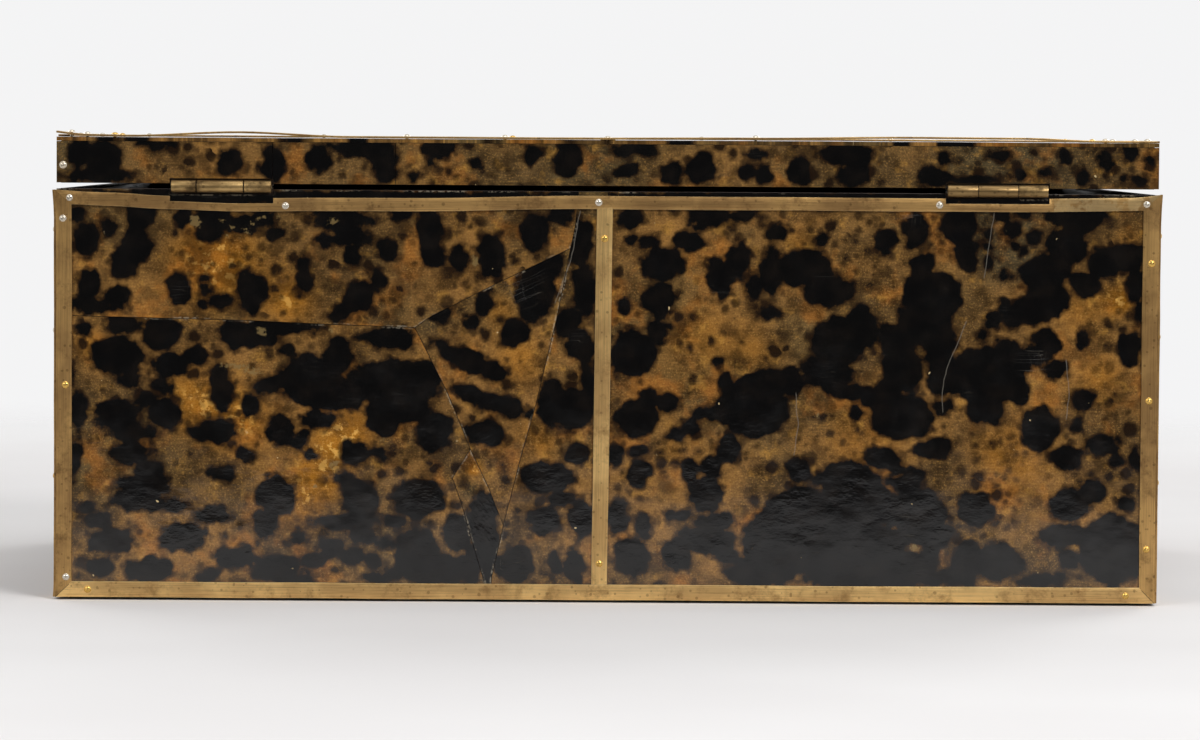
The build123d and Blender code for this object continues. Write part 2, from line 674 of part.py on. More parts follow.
def build_key():
    start_y = lock_works_y + key_tip_gap
    stem_end = half_depth + escutcheon_t + key_stem_out
    stem = rod(key_stem_r, (0, start_y, key_z), (0, stem_end, key_z))
    socket_end = lock_works_y + drill_pin_l + key_socket_spare
    socket = rod(drill_pin_r + drill_pin_play, (0, start_y - cut_overrun, key_z), (0, socket_end, key_z))
    bit_y = lock_works_y + key_bit_back
    half = key_bit_t / 2
    bit = slab(-half, half, bit_y, bit_y + key_bit_l, key_z - key_bit_r, key_z)
    collar_y = stem_end - key_collar_back
    collar = rod(key_collar_r, (0, collar_y, key_z), (0, collar_y + key_collar_l, key_z))
    bow_y = stem_end + bow_r - bow_joint
    bow = rod(bow_r, (-bow_t / 2, bow_y, key_z), (bow_t / 2, bow_y, key_z))
    bow = bow - rod(bow_hole_r, (-bow_t, bow_y, key_z), (bow_t, bow_y, key_z))
    bow = fillet(bow.edges().filter_by(GeomType.CIRCLE), bow_edge_r)
    nodes["key"] = stem + bit + collar + bow - socket
    return bow_y


# Till, pens and ink

def bottle_places():
    """Centres of the two ink bottles."""
    gap = (till_w - 2 * bottle_w) / 3
    first = -inner_x + gap + bottle_w / 2
    return [(first, ink_y + ink_block_l / 2), (first + gap + bottle_w, ink_y + ink_block_l / 2)]


def build_till():
    g = till_groove
    nodes["till_floor"] = slab(
        -inner_x - g, till_x, -inner_y - g, inner_y + g, till_floor_z - till_floor_t, till_floor_z)
    nodes["till_wall"] = slab(
        till_x, well_x, -inner_y - g, inner_y + g, till_floor_z - till_floor_t, till_wall_top)
    cover_slot = slab(
        wafer_x - cut_overrun, wafer_x + cover_groove, -inner_y, ink_y, cover_z - cover_play,
        cover_z + cover_t + cover_play)
    nodes["till_partition"] = slab(
        wafer_x, pen_x, -inner_y - g, ink_y, till_floor_z, till_wall_top) - cover_slot
    nodes["till_divider"] = slab(
        -inner_x, wafer_x, divider_y, divider_y + divider_t,
        till_floor_z, cover_z - cover_play - divider_drop)
    block = slab(-inner_x, till_x, ink_y, inner_y, till_floor_z, till_floor_z + ink_block_h)
    half = bottle_w / 2
    for x, y in bottle_places():
        play = bottle_play
        block = block - slab(x - half - play, x + half + play, y - half - play, y + half + play,
                             till_floor_z, till_floor_z + ink_block_h)
    nodes["ink_block"] = block

    rest = slab(pen_x, till_x, -inner_y, -inner_y + pen_rest_l, till_floor_z, till_floor_z + pen_rest_h)
    pen_gap = (till_x - pen_x) / pen_scallops
    for i in range(pen_scallops):
        x = pen_x + pen_gap * (i + 0.5)
        rest = rest - rod(pen_scallop_r, (x, -inner_y - cut_overrun, till_floor_z + pen_rest_h),
                          (x, -inner_y + pen_rest_l + cut_overrun, till_floor_z + pen_rest_h))
    nodes["pen_rest"] = rest


def build_ink():
    caps = []
    half = bottle_w / 2
    for name, (x, y) in zip(("left", "right"), bottle_places()):
        glass = slab(x - half, x + half, y - half, y + half, till_floor_z, till_floor_z + bottle_h)
        glass = fillet(glass.edges().filter_by(Axis.Z), bottle_edge_r)
        shoulder = till_floor_z + bottle_h
        neck_top = shoulder + bottle_neck_h
        glass = glass + rod(bottle_neck_r, (x, y, shoulder), (x, y, neck_top))
        well = rod(bottle_bore_r, (x, y, till_floor_z + bottle_floor), (x, y, neck_top + cut_overrun))
        nodes["ink_bottle_" + name] = glass - well
        cap_low = shoulder + cap_foot_gap
        cap = rod(cap_r, (x, y, cap_low), (x, y, neck_top + cap_play + cap_wall))
        room = rod(bottle_neck_r + cap_play, (x, y, cap_low - cut_overrun), (x, y, neck_top + cap_play))
        caps.append(cap - room)
    nodes["ink_caps"] = group(caps)


def build_cover():
    y0 = -inner_y + cover_play
    y1 = divider_y + cover_overlap
    x0 = -inner_x - cover_groove + cover_play
    x1 = wafer_x + cover_groove - cover_play
    nodes["till_cover"] = slab(x0, x1, y0, y1, cover_z, cover_z + cover_t)
    x = (x0 + x1) / 2
    y = y1 - knob_inset
    top = cover_z + cover_t
    neck = rod(knob_neck_r, (x, y, top), (x, y, top + knob_h))
    head = rod(knob_r, (x, y, top + knob_h / 2), (x, y, top + knob_h))
    head = fillet(head.edges().filter_by(GeomType.CIRCLE), knob_edge_r)
    nodes["till_cover_knob"] = neck + head
    return ink_y - y1 - cover_stop_gap


# Writing board in the paper well

def build_writing_board():
    x0 = well_x + board_play
    x1 = inner_x - board_play
    y1 = inner_y - board_play
    low = floor_z
    board = slab(x0, x1, -y1, y1, low, low + writing_board_t)
    notches = [rod(notch_r, (x, 0, low - cut_overrun), (x, 0, low + writing_board_t + cut_overrun))
               for x in (x0, x1)]
    nodes["writing_board"] = cut_all(board, notches)
    edge = leather_inset
    top = low + writing_board_t
    nodes["writing_leather"] = slab(x0 + edge, x1 - edge, -y1 + edge, y1 - edge, top, top + leather_t)
    return lid_board_z - paper_t - (top + leather_t) - lift_stop_gap


def report_places(cover_run, lift_run, bow_y):
    """Prints the joint places and the box sizes that the record repeats."""
    print("hinge axis y, z:", round(axis_y, 3), round(axis_z, 3))
    print("key axis z:", round(key_z, 3), "bow y:", round(bow_y, 3))
    print("bolt throw:", bolt_throw, "cover run:", round(cover_run, 3), "board lift:", round(lift_run, 3))
    print("inside x, y:", round(inner_x, 3), round(inner_y, 3), "floor z:", floor_z, "rim z:", rim_z)
    print("till x:", till_x, "well x:", well_x, "wafer x:", wafer_x, "pen x:", pen_x, "ink y:", ink_y)
    print("bottles:", bottle_places(), "lid board z:", round(lid_board_z, 3))
    print("bar z:", bar_z, "eye z:", round(eye_z, 3))


build_carcass()
build_shell()
build_strips()
build_lid()
build_hinges()
build_lock()
build_bolt()
bow_place = build_key()
build_till()
build_ink()
cover_travel = build_cover()
board_travel = build_writing_board()
for node_name, shape in nodes.items():
    export_step(shape, "parts/" + node_name + ".step")
report_places(cover_travel, board_travel, bow_place)
print("nodes:", len(nodes))
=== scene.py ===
# %% [markdown]
# # A travel writing box in tortoiseshell and brass
# The real box is a wooden carcass with thin tortoiseshell plates laid on it. Flat brass strips cover
# every edge and are held by small round-headed pins. The CAD model gives every piece its true place and
# size. This notebook gives each piece its finish, and rebuilds in finer meshes the pieces whose surface
# is uneven on the real box.

import json
import math
import random

import bmesh
import bpy
import numpy as np
from mathutils import Matrix, Vector, noise


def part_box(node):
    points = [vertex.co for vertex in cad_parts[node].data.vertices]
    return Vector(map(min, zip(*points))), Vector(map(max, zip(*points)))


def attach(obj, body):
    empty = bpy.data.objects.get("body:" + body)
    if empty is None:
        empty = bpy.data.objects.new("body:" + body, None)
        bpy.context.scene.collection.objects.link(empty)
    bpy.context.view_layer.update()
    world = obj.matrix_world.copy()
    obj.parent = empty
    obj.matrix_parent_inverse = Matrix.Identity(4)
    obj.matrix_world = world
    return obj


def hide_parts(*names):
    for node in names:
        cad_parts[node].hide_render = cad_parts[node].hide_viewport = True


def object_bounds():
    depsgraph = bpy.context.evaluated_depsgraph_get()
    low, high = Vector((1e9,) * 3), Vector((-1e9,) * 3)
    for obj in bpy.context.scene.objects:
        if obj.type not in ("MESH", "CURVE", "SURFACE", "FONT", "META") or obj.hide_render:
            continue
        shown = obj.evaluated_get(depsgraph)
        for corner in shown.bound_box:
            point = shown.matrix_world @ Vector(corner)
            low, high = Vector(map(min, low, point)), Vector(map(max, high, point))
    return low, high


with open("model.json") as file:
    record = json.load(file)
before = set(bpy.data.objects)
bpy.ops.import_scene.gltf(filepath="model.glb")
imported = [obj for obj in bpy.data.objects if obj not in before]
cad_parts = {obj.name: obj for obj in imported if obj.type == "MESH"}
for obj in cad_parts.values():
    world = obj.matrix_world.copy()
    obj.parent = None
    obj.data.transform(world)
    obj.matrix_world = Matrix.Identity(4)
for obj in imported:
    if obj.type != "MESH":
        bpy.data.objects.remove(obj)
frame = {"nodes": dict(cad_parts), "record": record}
cad_low, cad_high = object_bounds()
MM = 0.001
print("CAD box, mm:", [round(v / MM, 1) for v in cad_high - cad_low])


def new_object(name, data):
    """Puts an object with the given data into the scene."""
    made = bpy.data.objects.new(name, data)
    bpy.context.scene.collection.objects.link(made)
    return made

# %% [markdown]
# The photograph looks straight at the hinge side from 1.75 m away, with the lens just above the lid, so
# the lid's top is seen almost edge-on. The camera is written as a place, a small tilt down and a small
# roll. The same numbers let a spot in the photograph be turned into a place on the back of the box,
# which is easier than guessing coordinates for some hundreds of blotches.

# %% Camera
PHOTO_W, PHOTO_H = 1200, 740
SENSOR_W = 36.0
camera_lens = 138.11
camera_place = Vector((-2.5, -1884.5, 177.5)) * MM
camera_tilt = math.radians(-2.899)
camera_roll = math.radians(0.363)

forward = Vector((0, math.cos(camera_tilt), math.sin(camera_tilt)))
level_right = forward.cross(Vector((0, 0, 1))).normalized()
level_up = level_right.cross(forward)
view_right = level_right * math.cos(camera_roll) + level_up * math.sin(camera_roll)
view_up = level_up * math.cos(camera_roll) - level_right * math.sin(camera_roll)
focal_px = camera_lens / SENSOR_W * PHOTO_W

lens = bpy.data.cameras.new("camera")
lens.lens = camera_lens
lens.sensor_width = SENSOR_W
camera = new_object("camera", lens)
turn = Matrix((view_right, view_up, -forward)).transposed().to_4x4()
camera.matrix_world = Matrix.Translation(camera_place) @ turn
bpy.context.scene.camera = camera

back_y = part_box("shell_back_right")[0].y
photo_mm = (back_y - camera_place.y) / focal_px / MM


def from_photo(px, py):
    """The place on the back face, as (x, z) in mm, that a photo pixel shows."""
    ray = forward * focal_px + view_right * (px - PHOTO_W / 2) - view_up * (py - PHOTO_H / 2)
    hit = camera_place + ray * ((back_y - camera_place.y) / ray.y)
    return hit.x / MM, hit.z / MM


print("one photo pixel on the back, mm:", round(photo_mm, 4))

# %% [markdown]
# Next come small helpers for shader trees. A colour is written as it looks on a screen, 0 to 255, and
# made linear here, because the shader works in linear light. The other helpers add one node, set its
# sockets and hand back its output, so that a material reads from top to bottom like a recipe.

# %% Shader helpers
def rgb(red, green, blue):
    """A screen colour as a linear RGBA value."""
    return tuple((v / 255) ** 2.2 for v in (red, green, blue)) + (1.0,)


def add(tree, kind, sockets=None, **settings):
    """Adds a node, sets it up and connects or sets the sockets that are named."""
    made = tree.nodes.new(kind)
    for key, value in settings.items():
        setattr(made, key, value)
    for socket, value in (sockets or {}).items():
        if isinstance(value, bpy.types.NodeSocket):
            tree.links.new(value, made.inputs[socket])
        else:
            made.inputs[socket].default_value = value
    return made


def cloud(tree, vector, scale, detail=2.0, rough=0.5):
    """Soft random values between 0 and 1."""
    sockets = {"Vector": vector, "Scale": scale, "Detail": detail, "Roughness": rough}
    return add(tree, "ShaderNodeTexNoise", sockets).outputs[0]


def ramp(tree, value, low, high, out_low=0.0, out_high=1.0):
    """A smooth step of a value from low to high."""
    sockets = {0: value, 1: low, 2: high, 3: out_low, 4: out_high}
    return add(tree, "ShaderNodeMapRange", sockets, interpolation_type="SMOOTHSTEP").outputs[0]


def calc(tree, operation, a, b=0.0, c=0.0):
    """One sum on values."""
    return add(tree, "ShaderNodeMath", {0: a, 1: b, 2: c}, operation=operation).outputs[0]


def blend_colour(tree, factor, a, b):
    """Colour a with colour b laid over it."""
    return add(tree, "ShaderNodeMix", {0: factor, 6: a, 7: b}, data_type="RGBA").outputs[2]


def tint(tree, colour, mask, amount, over):
    """A colour with another laid over it where a mask is, at most as strongly as the amount says."""
    return blend_colour(tree, calc(tree, "MULTIPLY", mask, amount), colour, over)


def attribute(tree, name, output="Fac"):
    """A value that a mesh carries at its points or faces."""
    return add(tree, "ShaderNodeAttribute", attribute_name=name).outputs[output]


def bump(tree, height, distance, normal=None):
    """A bumped normal, with its depth given in metres."""
    sockets = {"Height": height, "Distance": distance, "Strength": 1.0}
    if normal is not None:
        sockets["Normal"] = normal
    return add(tree, "ShaderNodeBump", sockets).outputs[0]


def new_material(name, **constants):
    """A material with one Principled shader, whose constants sit on its own sockets."""
    material = bpy.data.materials.new(name)
    material.use_nodes = True
    tree = material.node_tree
    surface = tree.nodes["Principled BSDF"]
    for socket, value in constants.items():
        surface.inputs[socket.replace("_", " ")].default_value = value
    return material, tree, surface


def feed(tree, surface, **sockets):
    """Connects results to the shader."""
    for socket, value in sockets.items():
        tree.links.new(value, surface.inputs[socket.replace("_", " ")])

# %% [markdown]
# Streaks, dots, scratches and worn edges turn up in the shell, the brass and the wood alike. Each is a
# node group with named inputs, built once here, so every material places the same effect with its own
# values.

# %% Shared effects
def new_group(name, inputs, output):
    """An empty node group with float or vector inputs and one float output."""
    group = bpy.data.node_groups.new(name, "ShaderNodeTree")
    for label, value in inputs.items():
        kind = "NodeSocketVector" if value is None else "NodeSocketFloat"
        socket = group.interface.new_socket(label, in_out="INPUT", socket_type=kind)
        if value is not None:
            socket.default_value = value
    group.interface.new_socket(output, in_out="OUTPUT", socket_type="NodeSocketFloat")
    given = group.nodes.new("NodeGroupInput").outputs
    return group, given, group.nodes.new("NodeGroupOutput").inputs[output]


def use(tree, group, **sockets):
    """Places a group in a material and hands back its output."""
    return add(tree, "ShaderNodeGroup", sockets, node_tree=group).outputs[0]


def vector_calc(tree, operation, sockets):
    """One sum on vectors."""
    return add(tree, "ShaderNodeVectorMath", sockets, operation=operation).outputs[0]


def stretched_noise(group, given, detail, rough):
    """Noise drawn out along the grain, by the group's inputs Along and Across."""
    scale = add(group, "ShaderNodeCombineXYZ", {0: given["Along"], 1: given["Across"], 2: given["Across"]})
    spread = vector_calc(group, "MULTIPLY", {0: given["Vector"], 1: scale.outputs[0]})
    return cloud(group, spread, 1.0, detail, rough)


def streaks_group():
    """Streaks along the grain."""
    inputs = {"Vector": None, "Along": 60.0, "Across": 900.0}
    group, given, result = new_group("Streaks", inputs, "Value")
    group.links.new(stretched_noise(group, given, 3.0, 0.6), result)
    return group


def dots_group():
    """Dots of many sizes, one to a cell at most, with an edge as ragged as asked."""
    inputs = {"Vector": None, "Scale": 300.0, "Size": 0.3, "Softness": 0.1, "Ragged": 0.0}
    group, given, result = new_group("Dots", inputs, "Mask")
    fine = calc(group, "MULTIPLY", given["Scale"], 1.6)
    sockets = {"Vector": given["Vector"], "Scale": fine, "Detail": 2.0}
    push = add(group, "ShaderNodeTexNoise", sockets).outputs[1]
    centred = vector_calc(group, "SUBTRACT", {0: push, 1: (0.5, 0.5, 0.5)})
    reach = calc(group, "DIVIDE", given["Ragged"], given["Scale"])
    pushed = vector_calc(group, "SCALE", {0: centred, "Scale": reach})
    spot = vector_calc(group, "ADD", {0: given["Vector"], 1: pushed})
    cells = add(group, "ShaderNodeTexVoronoi", {"Vector": spot, "Scale": given["Scale"]})
    random_size = add(group, "ShaderNodeSeparateColor", {0: cells.outputs["Color"]}).outputs[0]
    radius = calc(group, "MULTIPLY", given["Size"], calc(group, "POWER", random_size, 1.5))
    rim = calc(group, "ADD", radius, given["Softness"])
    inside = ramp(group, cells.outputs["Distance"], radius, rim, 1.0, 0.0)
    present = ramp(group, random_size, 0.15, 0.3)
    group.links.new(calc(group, "MULTIPLY", inside, present), result)
    return group


def scratches_group():
    """Thin lines, where a stretched noise crosses its middle value, in patches only."""
    inputs = {"Vector": None, "Along": 25.0, "Across": 420.0, "Width": 0.012, "Amount": 0.5}
    group, given, result = new_group("Scratches", inputs, "Mask")
    waves = stretched_noise(group, given, 1.0, 0.5)
    off = calc(group, "ABSOLUTE", calc(group, "SUBTRACT", waves, 0.5))
    line = ramp(group, off, 0.0, given["Width"], 1.0, 0.0)
    least = calc(group, "SUBTRACT", 1.0, given["Amount"])
    patches = ramp(group, cloud(group, given["Vector"], 45.0), least, 0.8)
    group.links.new(calc(group, "MULTIPLY", line, patches), result)
    return group


def wear_and_light_group():
    """The patches of a marked face that are kept, for rubbed edges and for painted light."""
    inputs = {"Edge": 0.0, "Vector": None, "Scale": 250.0, "Amount": 0.6}
    group, given, result = new_group("Worn edges", inputs, "Mask")
    patches = cloud(group, given["Vector"], given["Scale"], 3.0)
    least, most = (calc(group, "SUBTRACT", end, given["Amount"]) for end in (0.95, 1.1))
    kept = ramp(group, patches, least, most)
    group.links.new(calc(group, "MULTIPLY", given["Edge"], kept), result)
    return group


STREAKS = streaks_group()
DOTS = dots_group()
SCRATCHES = scratches_group()
WEAR_AND_LIGHT = wear_and_light_group()
print("shared effects:", [g.name for g in bpy.data.node_groups])

# %% [markdown]
# The tortoiseshell is amber with dark blotches. A real plate is translucent with the colour inside it, and
# its blotches have a near-black heart and a narrow brown fringe. Here each plate's mesh carries the values
# for that: how deep a point lies inside a blotch, in millimetres, how warm its ground colour is, and its
# own coordinates along the plate's fibres. The shader turns the first into heart and fringe with a ragged
# edge, and the last into streaks that break off at every seam, as they do between real plates. Four more
# values tell how deep a point lies in a chip and how far it is from a seam and from a crack.

# %% Tortoiseshell
UMBER = rgb(94, 72, 43)
HONEY = rgb(142, 103, 56)
OLIVE = rgb(86, 75, 50)
GOLD = rgb(172, 112, 30)
GREY_OLIVE = rgb(78, 68, 48)
AMBER = rgb(168, 104, 40)
SMOKE = rgb(54, 40, 22)
PALE_HONEY = rgb(186, 136, 62)
DARK_FIBRE = rgb(56, 40, 20)
PALE_FIBRE = rgb(206, 154, 80)
PALE_GRAIN = rgb(196, 148, 80)
DARK_GRAIN = rgb(48, 36, 20)
GOLD_FLECK = rgb(222, 168, 84)
FRECKLE = rgb(28, 18, 10)
FRINGE = rgb(34, 22, 12)
BLACK = rgb(11, 10, 10)
BROWN_BLACK = rgb(24, 20, 17)
CHIPPED = rgb(128, 108, 70)
SCUFF_AND_HIGHLIGHT = rgb(170, 158, 136)
CRACKED = rgb(128, 122, 112)
SCRATCHED = rgb(150, 140, 122)
GLINT = rgb(200, 176, 130)
RIPPLE_DEPTH = 0.25 * MM
DENT_DEPTH = 0.1 * MM
SCRATCH_DEPTH = 0.02 * MM


def shell_ground(tree, lay, warm):
    """Amber and olive clouds, fibres and, where the ground is warm, gold flecks."""
    tone = ramp(tree, cloud(tree, lay, 26.0, 4.0), 0.38, 0.62)
    ground = blend_colour(tree, tone, UMBER, HONEY)
    murk = ramp(tree, cloud(tree, lay, 15.0, 3.0), 0.46, 0.68)
    ground = tint(tree, ground, murk, 0.7, OLIVE)
    ground = blend_colour(tree, ramp(tree, warm, 0.0, 1.0, 0.0, 0.85), ground, GOLD)
    ground = blend_colour(tree, ramp(tree, warm, 0.0, -1.0), ground, GREY_OLIVE)
    amber = ramp(tree, cloud(tree, lay, 44.0, 4.0, 0.6), 0.52, 0.66)
    ground = tint(tree, ground, amber, 0.55, AMBER)
    smoky = ramp(tree, cloud(tree, lay, 95.0, 4.0, 0.6), 0.44, 0.66)
    ground = tint(tree, ground, smoky, 0.6, SMOKE)
    lit = ramp(tree, cloud(tree, lay, 150.0, 4.0, 0.6), 0.55, 0.75)
    ground = tint(tree, ground, lit, 0.6, PALE_HONEY)
    fibre = use(tree, STREAKS, Vector=lay, Along=130.0, Across=1300.0)
    ground = blend_colour(tree, ramp(tree, fibre, 0.42, 0.66, 0.0, 0.1), ground, DARK_FIBRE)
    ground = blend_colour(tree, ramp(tree, fibre, 0.48, 0.34, 0.0, 0.08), ground, PALE_FIBRE)
    grain = cloud(tree, lay, 1300.0, 3.0, 0.7)
    ground = blend_colour(tree, ramp(tree, grain, 0.52, 0.7, 0.0, 0.4), ground, PALE_GRAIN)
    ground = blend_colour(tree, ramp(tree, grain, 0.48, 0.3, 0.0, 0.45), ground, DARK_GRAIN)
    grainy = cloud(tree, lay, 300.0, 4.0, 0.65)
    flecks = calc(tree, "MULTIPLY", ramp(tree, grainy, 0.55, 0.61), ramp(tree, warm, 0.5, 0.95))
    return tint(tree, ground, flecks, 0.85, GOLD_FLECK)


def shell_blotches(tree, lay, ground):
    """The ground with freckles, fringes and hearts on it, and how deep a point lies in a blotch."""
    lobes = calc(tree, "MULTIPLY_ADD", cloud(tree, lay, 200.0, 1.5), 4.6, -2.05)
    teeth = calc(tree, "MULTIPLY_ADD", cloud(tree, lay, 560.0, 2.0, 0.5), 1.5, -0.75)
    depth = calc(tree, "ADD", attribute(tree, "blot"), calc(tree, "ADD", lobes, teeth))
    heart = ramp(tree, depth, -0.3, 0.35)
    fringe = ramp(tree, depth, -1.7, -0.1)
    patchy = ramp(tree, cloud(tree, lay, 32.0, 3.0), 0.34, 0.54, 0.45, 1.0)
    large_dots = use(tree, DOTS, Vector=lay, Scale=140.0, Size=0.28, Softness=0.34, Ragged=0.5)
    small_dots = use(tree, DOTS, Vector=lay, Scale=220.0, Size=0.2, Softness=0.46, Ragged=0.5)
    haze = ramp(tree, cloud(tree, lay, 110.0, 3.0), 0.47, 0.66, 0.0, 0.66)
    small_dots = calc(tree, "MULTIPLY", small_dots, 0.85)
    freckle = calc(tree, "MULTIPLY", calc(tree, "MAXIMUM", large_dots, small_dots), patchy)
    freckle = calc(tree, "MAXIMUM", freckle, calc(tree, "MULTIPLY", haze, patchy))
    colour = tint(tree, ground, freckle, 0.96, FRECKLE)
    colour = tint(tree, colour, fringe, 0.85, FRINGE)
    browner = ramp(tree, cloud(tree, lay, 130.0, 4.0), 0.4, 0.8)
    black = blend_colour(tree, browner, BLACK, BROWN_BLACK)
    return blend_colour(tree, heart, colour, black), depth


def shell_damage(tree, lay, colour):
    """The colour with chips, seams with scuffing and a painted highlight, cracks, scratches and painted
    glints, and how far the cracks and scratches cut into the surface.
    """
    chip_edge = calc(tree, "MULTIPLY_ADD", cloud(tree, lay, 700.0, 4.0, 0.7), 4.6, -2.5)
    chipped = ramp(tree, calc(tree, "ADD", attribute(tree, "chip"), chip_edge), -0.1, 0.5)
    colour = tint(tree, colour, chipped, 0.66, CHIPPED)
    # Pale marks along the seams, partly scuffing and partly a painted highlight on the plates' edges.
    seam_patches = ramp(tree, cloud(tree, lay, 55.0, 3.0), 0.5, 0.62)
    near_seam = ramp(tree, attribute(tree, "rim"), 0.3, 0.9, 1.0, 0.0)
    broken = ramp(tree, cloud(tree, lay, 900.0, 2.0), 0.4, 0.6)
    seam_scuff_and_highlight = calc(tree, "MULTIPLY", calc(tree, "MULTIPLY", near_seam, seam_patches), broken)
    colour = tint(tree, colour, seam_scuff_and_highlight, 0.5, SCUFF_AND_HIGHLIGHT)
    off_crack = calc(tree, "ABSOLUTE", attribute(tree, "crack"))
    on_line = ramp(tree, off_crack, 0.05, 0.3, 1.0, 0.0)
    within_ends = ramp(tree, attribute(tree, "crack_gap"), 0.8, 1.8, 1.0, 0.0)
    crack = calc(tree, "MULTIPLY", on_line, within_ends)
    colour = tint(tree, colour, crack, 0.4, CRACKED)

    lines = use(tree, SCRATCHES, Vector=lay, Along=30.0, Across=500.0, Width=0.008, Amount=0.4)
    cross_lines = use(tree, SCRATCHES, Vector=lay, Along=520.0, Across=40.0, Width=0.006, Amount=0.35)
    scratched = calc(tree, "MAXIMUM", lines, cross_lines)
    colour = tint(tree, colour, scratched, 0.16, SCRATCHED)
    # Rare tiny pale specks painted into the colour as glints: painted highlights.
    glint = use(tree, DOTS, Vector=lay, Scale=210.0, Size=0.08, Softness=0.03, Ragged=0.6)
    rare = ramp(tree, cloud(tree, lay, 60.0), 0.58, 0.66)
    colour = tint(tree, colour, glint, rare, GLINT)
    return colour, calc(tree, "ADD", scratched, crack)


def shell_relief(tree, lay, depth, cuts):
    """Ripples and dents, wrinkles that grow inside the dark parts, and what cuts into the surface."""
    ripple = cloud(tree, lay, 60.0, 2.0)
    dented = ramp(tree, cloud(tree, lay, 13.0, 2.0), 0.5, 0.66, 0.04, 1.0)
    dents = use(tree, STREAKS, Vector=lay, Along=130.0, Across=210.0)
    normal = bump(tree, ripple, RIPPLE_DEPTH)
    normal = bump(tree, calc(tree, "MULTIPLY", dents, dented), DENT_DEPTH, normal)
    wrinkles = calc(tree, "SUBTRACT", use(tree, STREAKS, Vector=lay, Along=140.0, Across=240.0), 0.5)
    pitted = ramp(tree, cloud(tree, lay, 11.0, 2.0), 0.36, 0.56, 0.2, 1.0)
    pitted = calc(tree, "MULTIPLY", pitted, ramp(tree, depth, -0.2, 2.6))
    normal = bump(tree, calc(tree, "MULTIPLY", wrinkles, pitted), DENT_DEPTH, normal)
    return bump(tree, calc(tree, "MULTIPLY", cuts, -1.0), SCRATCH_DEPTH, normal)


def shell_material():
    """Ground, blotches, damage and relief put together."""
    material, tree, surface = new_material("tortoiseshell", Coat_Roughness=0.06, IOR=1.5, Coat_Weight=0.08)
    lay = attribute(tree, "lay", "Vector")
    ground = shell_ground(tree, lay, attribute(tree, "warm"))
    colour, depth = shell_blotches(tree, lay, ground)
    colour, cuts = shell_damage(tree, lay, colour)
    normal = shell_relief(tree, lay, depth, cuts)
    roughness = ramp(tree, cloud(tree, lay, 90.0, 4.0), 0.3, 0.75, 0.08, 0.2)
    feed(tree, surface, Base_Color=colour, Roughness=roughness, Normal=normal)
    return material


SHELL = shell_material()

# %% [markdown]
# The brass is old. It has a dull brown-gold tone, darker tarnish in patches, fine brushing along its
# length, dark specks, and brighter metal where handling has rubbed the edges. Bevel faces in mitres and
# on the hinges are darkened as painted shade, and the top strip's right part gets pale patches as
# painted light. One recipe makes all of it, with its own colours and roughness for each kind of fitting.

# %% Brass and steel
METALLIC = 0.9
PIN_DEPTH = 0.03 * MM
RUBBED_AND_LIT_METAL = rgb(226, 200, 146)
JOINT_SHADE = rgb(24, 16, 11)
SILVERY_HEAD = rgb(205, 200, 188)
YELLOW_HEAD = rgb(214, 172, 92)
PIN_GRIME = rgb(84, 68, 46)


def brushed_metal(name, bright, dull, dark, rough, tarnish):
    """Old metal in three tones, with tarnish, brushing, specks and rubbed edges, painted shade on faces
    marked below zero, and painted light where a flat face is marked for it.
    """
    material, tree, surface = new_material(name, Metallic=METALLIC)
    lay = attribute(tree, "lay", "Vector")
    worn = attribute(tree, "worn")
    tone = ramp(tree, cloud(tree, lay, 38.0, 4.0, 0.6), 0.38, 0.64)
    colour = blend_colour(tree, tone, dull, bright)
    patches = ramp(tree, cloud(tree, lay, 110.0, 5.0, 0.65), 0.5, 0.72)
    colour = tint(tree, colour, patches, tarnish, dark)
    brushing = use(tree, STREAKS, Vector=lay, Along=35.0, Across=2600.0)
    colour = blend_colour(tree, ramp(tree, brushing, 0.4, 0.75, 0.0, 0.4), colour, dark)
    specks = use(tree, DOTS, Vector=lay, Scale=420.0, Size=0.22, Softness=0.12)
    colour = tint(tree, colour, specks, 0.45, dark)
    # Rubbed edges get pale metal; the top strip's marked flat faces get the same pale patches as painted
    # light.
    rubbed = use(tree, WEAR_AND_LIGHT, Edge=worn, Vector=lay, Scale=300.0, Amount=0.62)
    colour = tint(tree, colour, rubbed, 0.6, RUBBED_AND_LIT_METAL)
    scratched = use(tree, SCRATCHES, Vector=lay, Along=60.0, Across=900.0, Width=0.02, Amount=0.55)
    colour = tint(tree, colour, scratched, 0.45, bright)
    # Faces marked below zero, in mitres and on the hinges, are darkened: painted shade in the joints.
    dirt_and_shade = ramp(tree, worn, 0.0, -1.0)
    colour = tint(tree, colour, dirt_and_shade, 0.9, JOINT_SHADE)
    dents = cloud(tree, lay, 160.0, 3.0)
    normal = bump(tree, dents, RIPPLE_DEPTH)
    normal = bump(tree, calc(tree, "SUBTRACT", brushing, specks), SCRATCH_DEPTH, normal)
    spread = ramp(tree, patches, 0.0, 1.0, rough, rough + 0.16)
    feed(tree, surface, Base_Color=colour, Roughness=spread, Normal=normal)
    return material


STRIP_BRASS = brushed_metal(
    "strip brass", rgb(204, 162, 102), rgb(164, 128, 82), rgb(78, 56, 34), 0.42, 0.7)
BRIGHT_BRASS = brushed_metal(
    "rubbed strip brass", rgb(244, 202, 132), rgb(206, 166, 108), rgb(96, 68, 40), 0.4, 0.6)
HINGE_BRASS = brushed_metal(
    "hinge brass", rgb(188, 156, 104), rgb(138, 112, 74), rgb(50, 37, 23), 0.4, 0.8)
LOCK_BRASS = brushed_metal(
    "lock brass", rgb(206, 172, 104), rgb(176, 142, 84), rgb(96, 72, 40), 0.32, 0.4)
STEEL = brushed_metal(
    "worn steel", rgb(150, 148, 144), rgb(112, 110, 106), rgb(62, 50, 42), 0.36, 0.5)


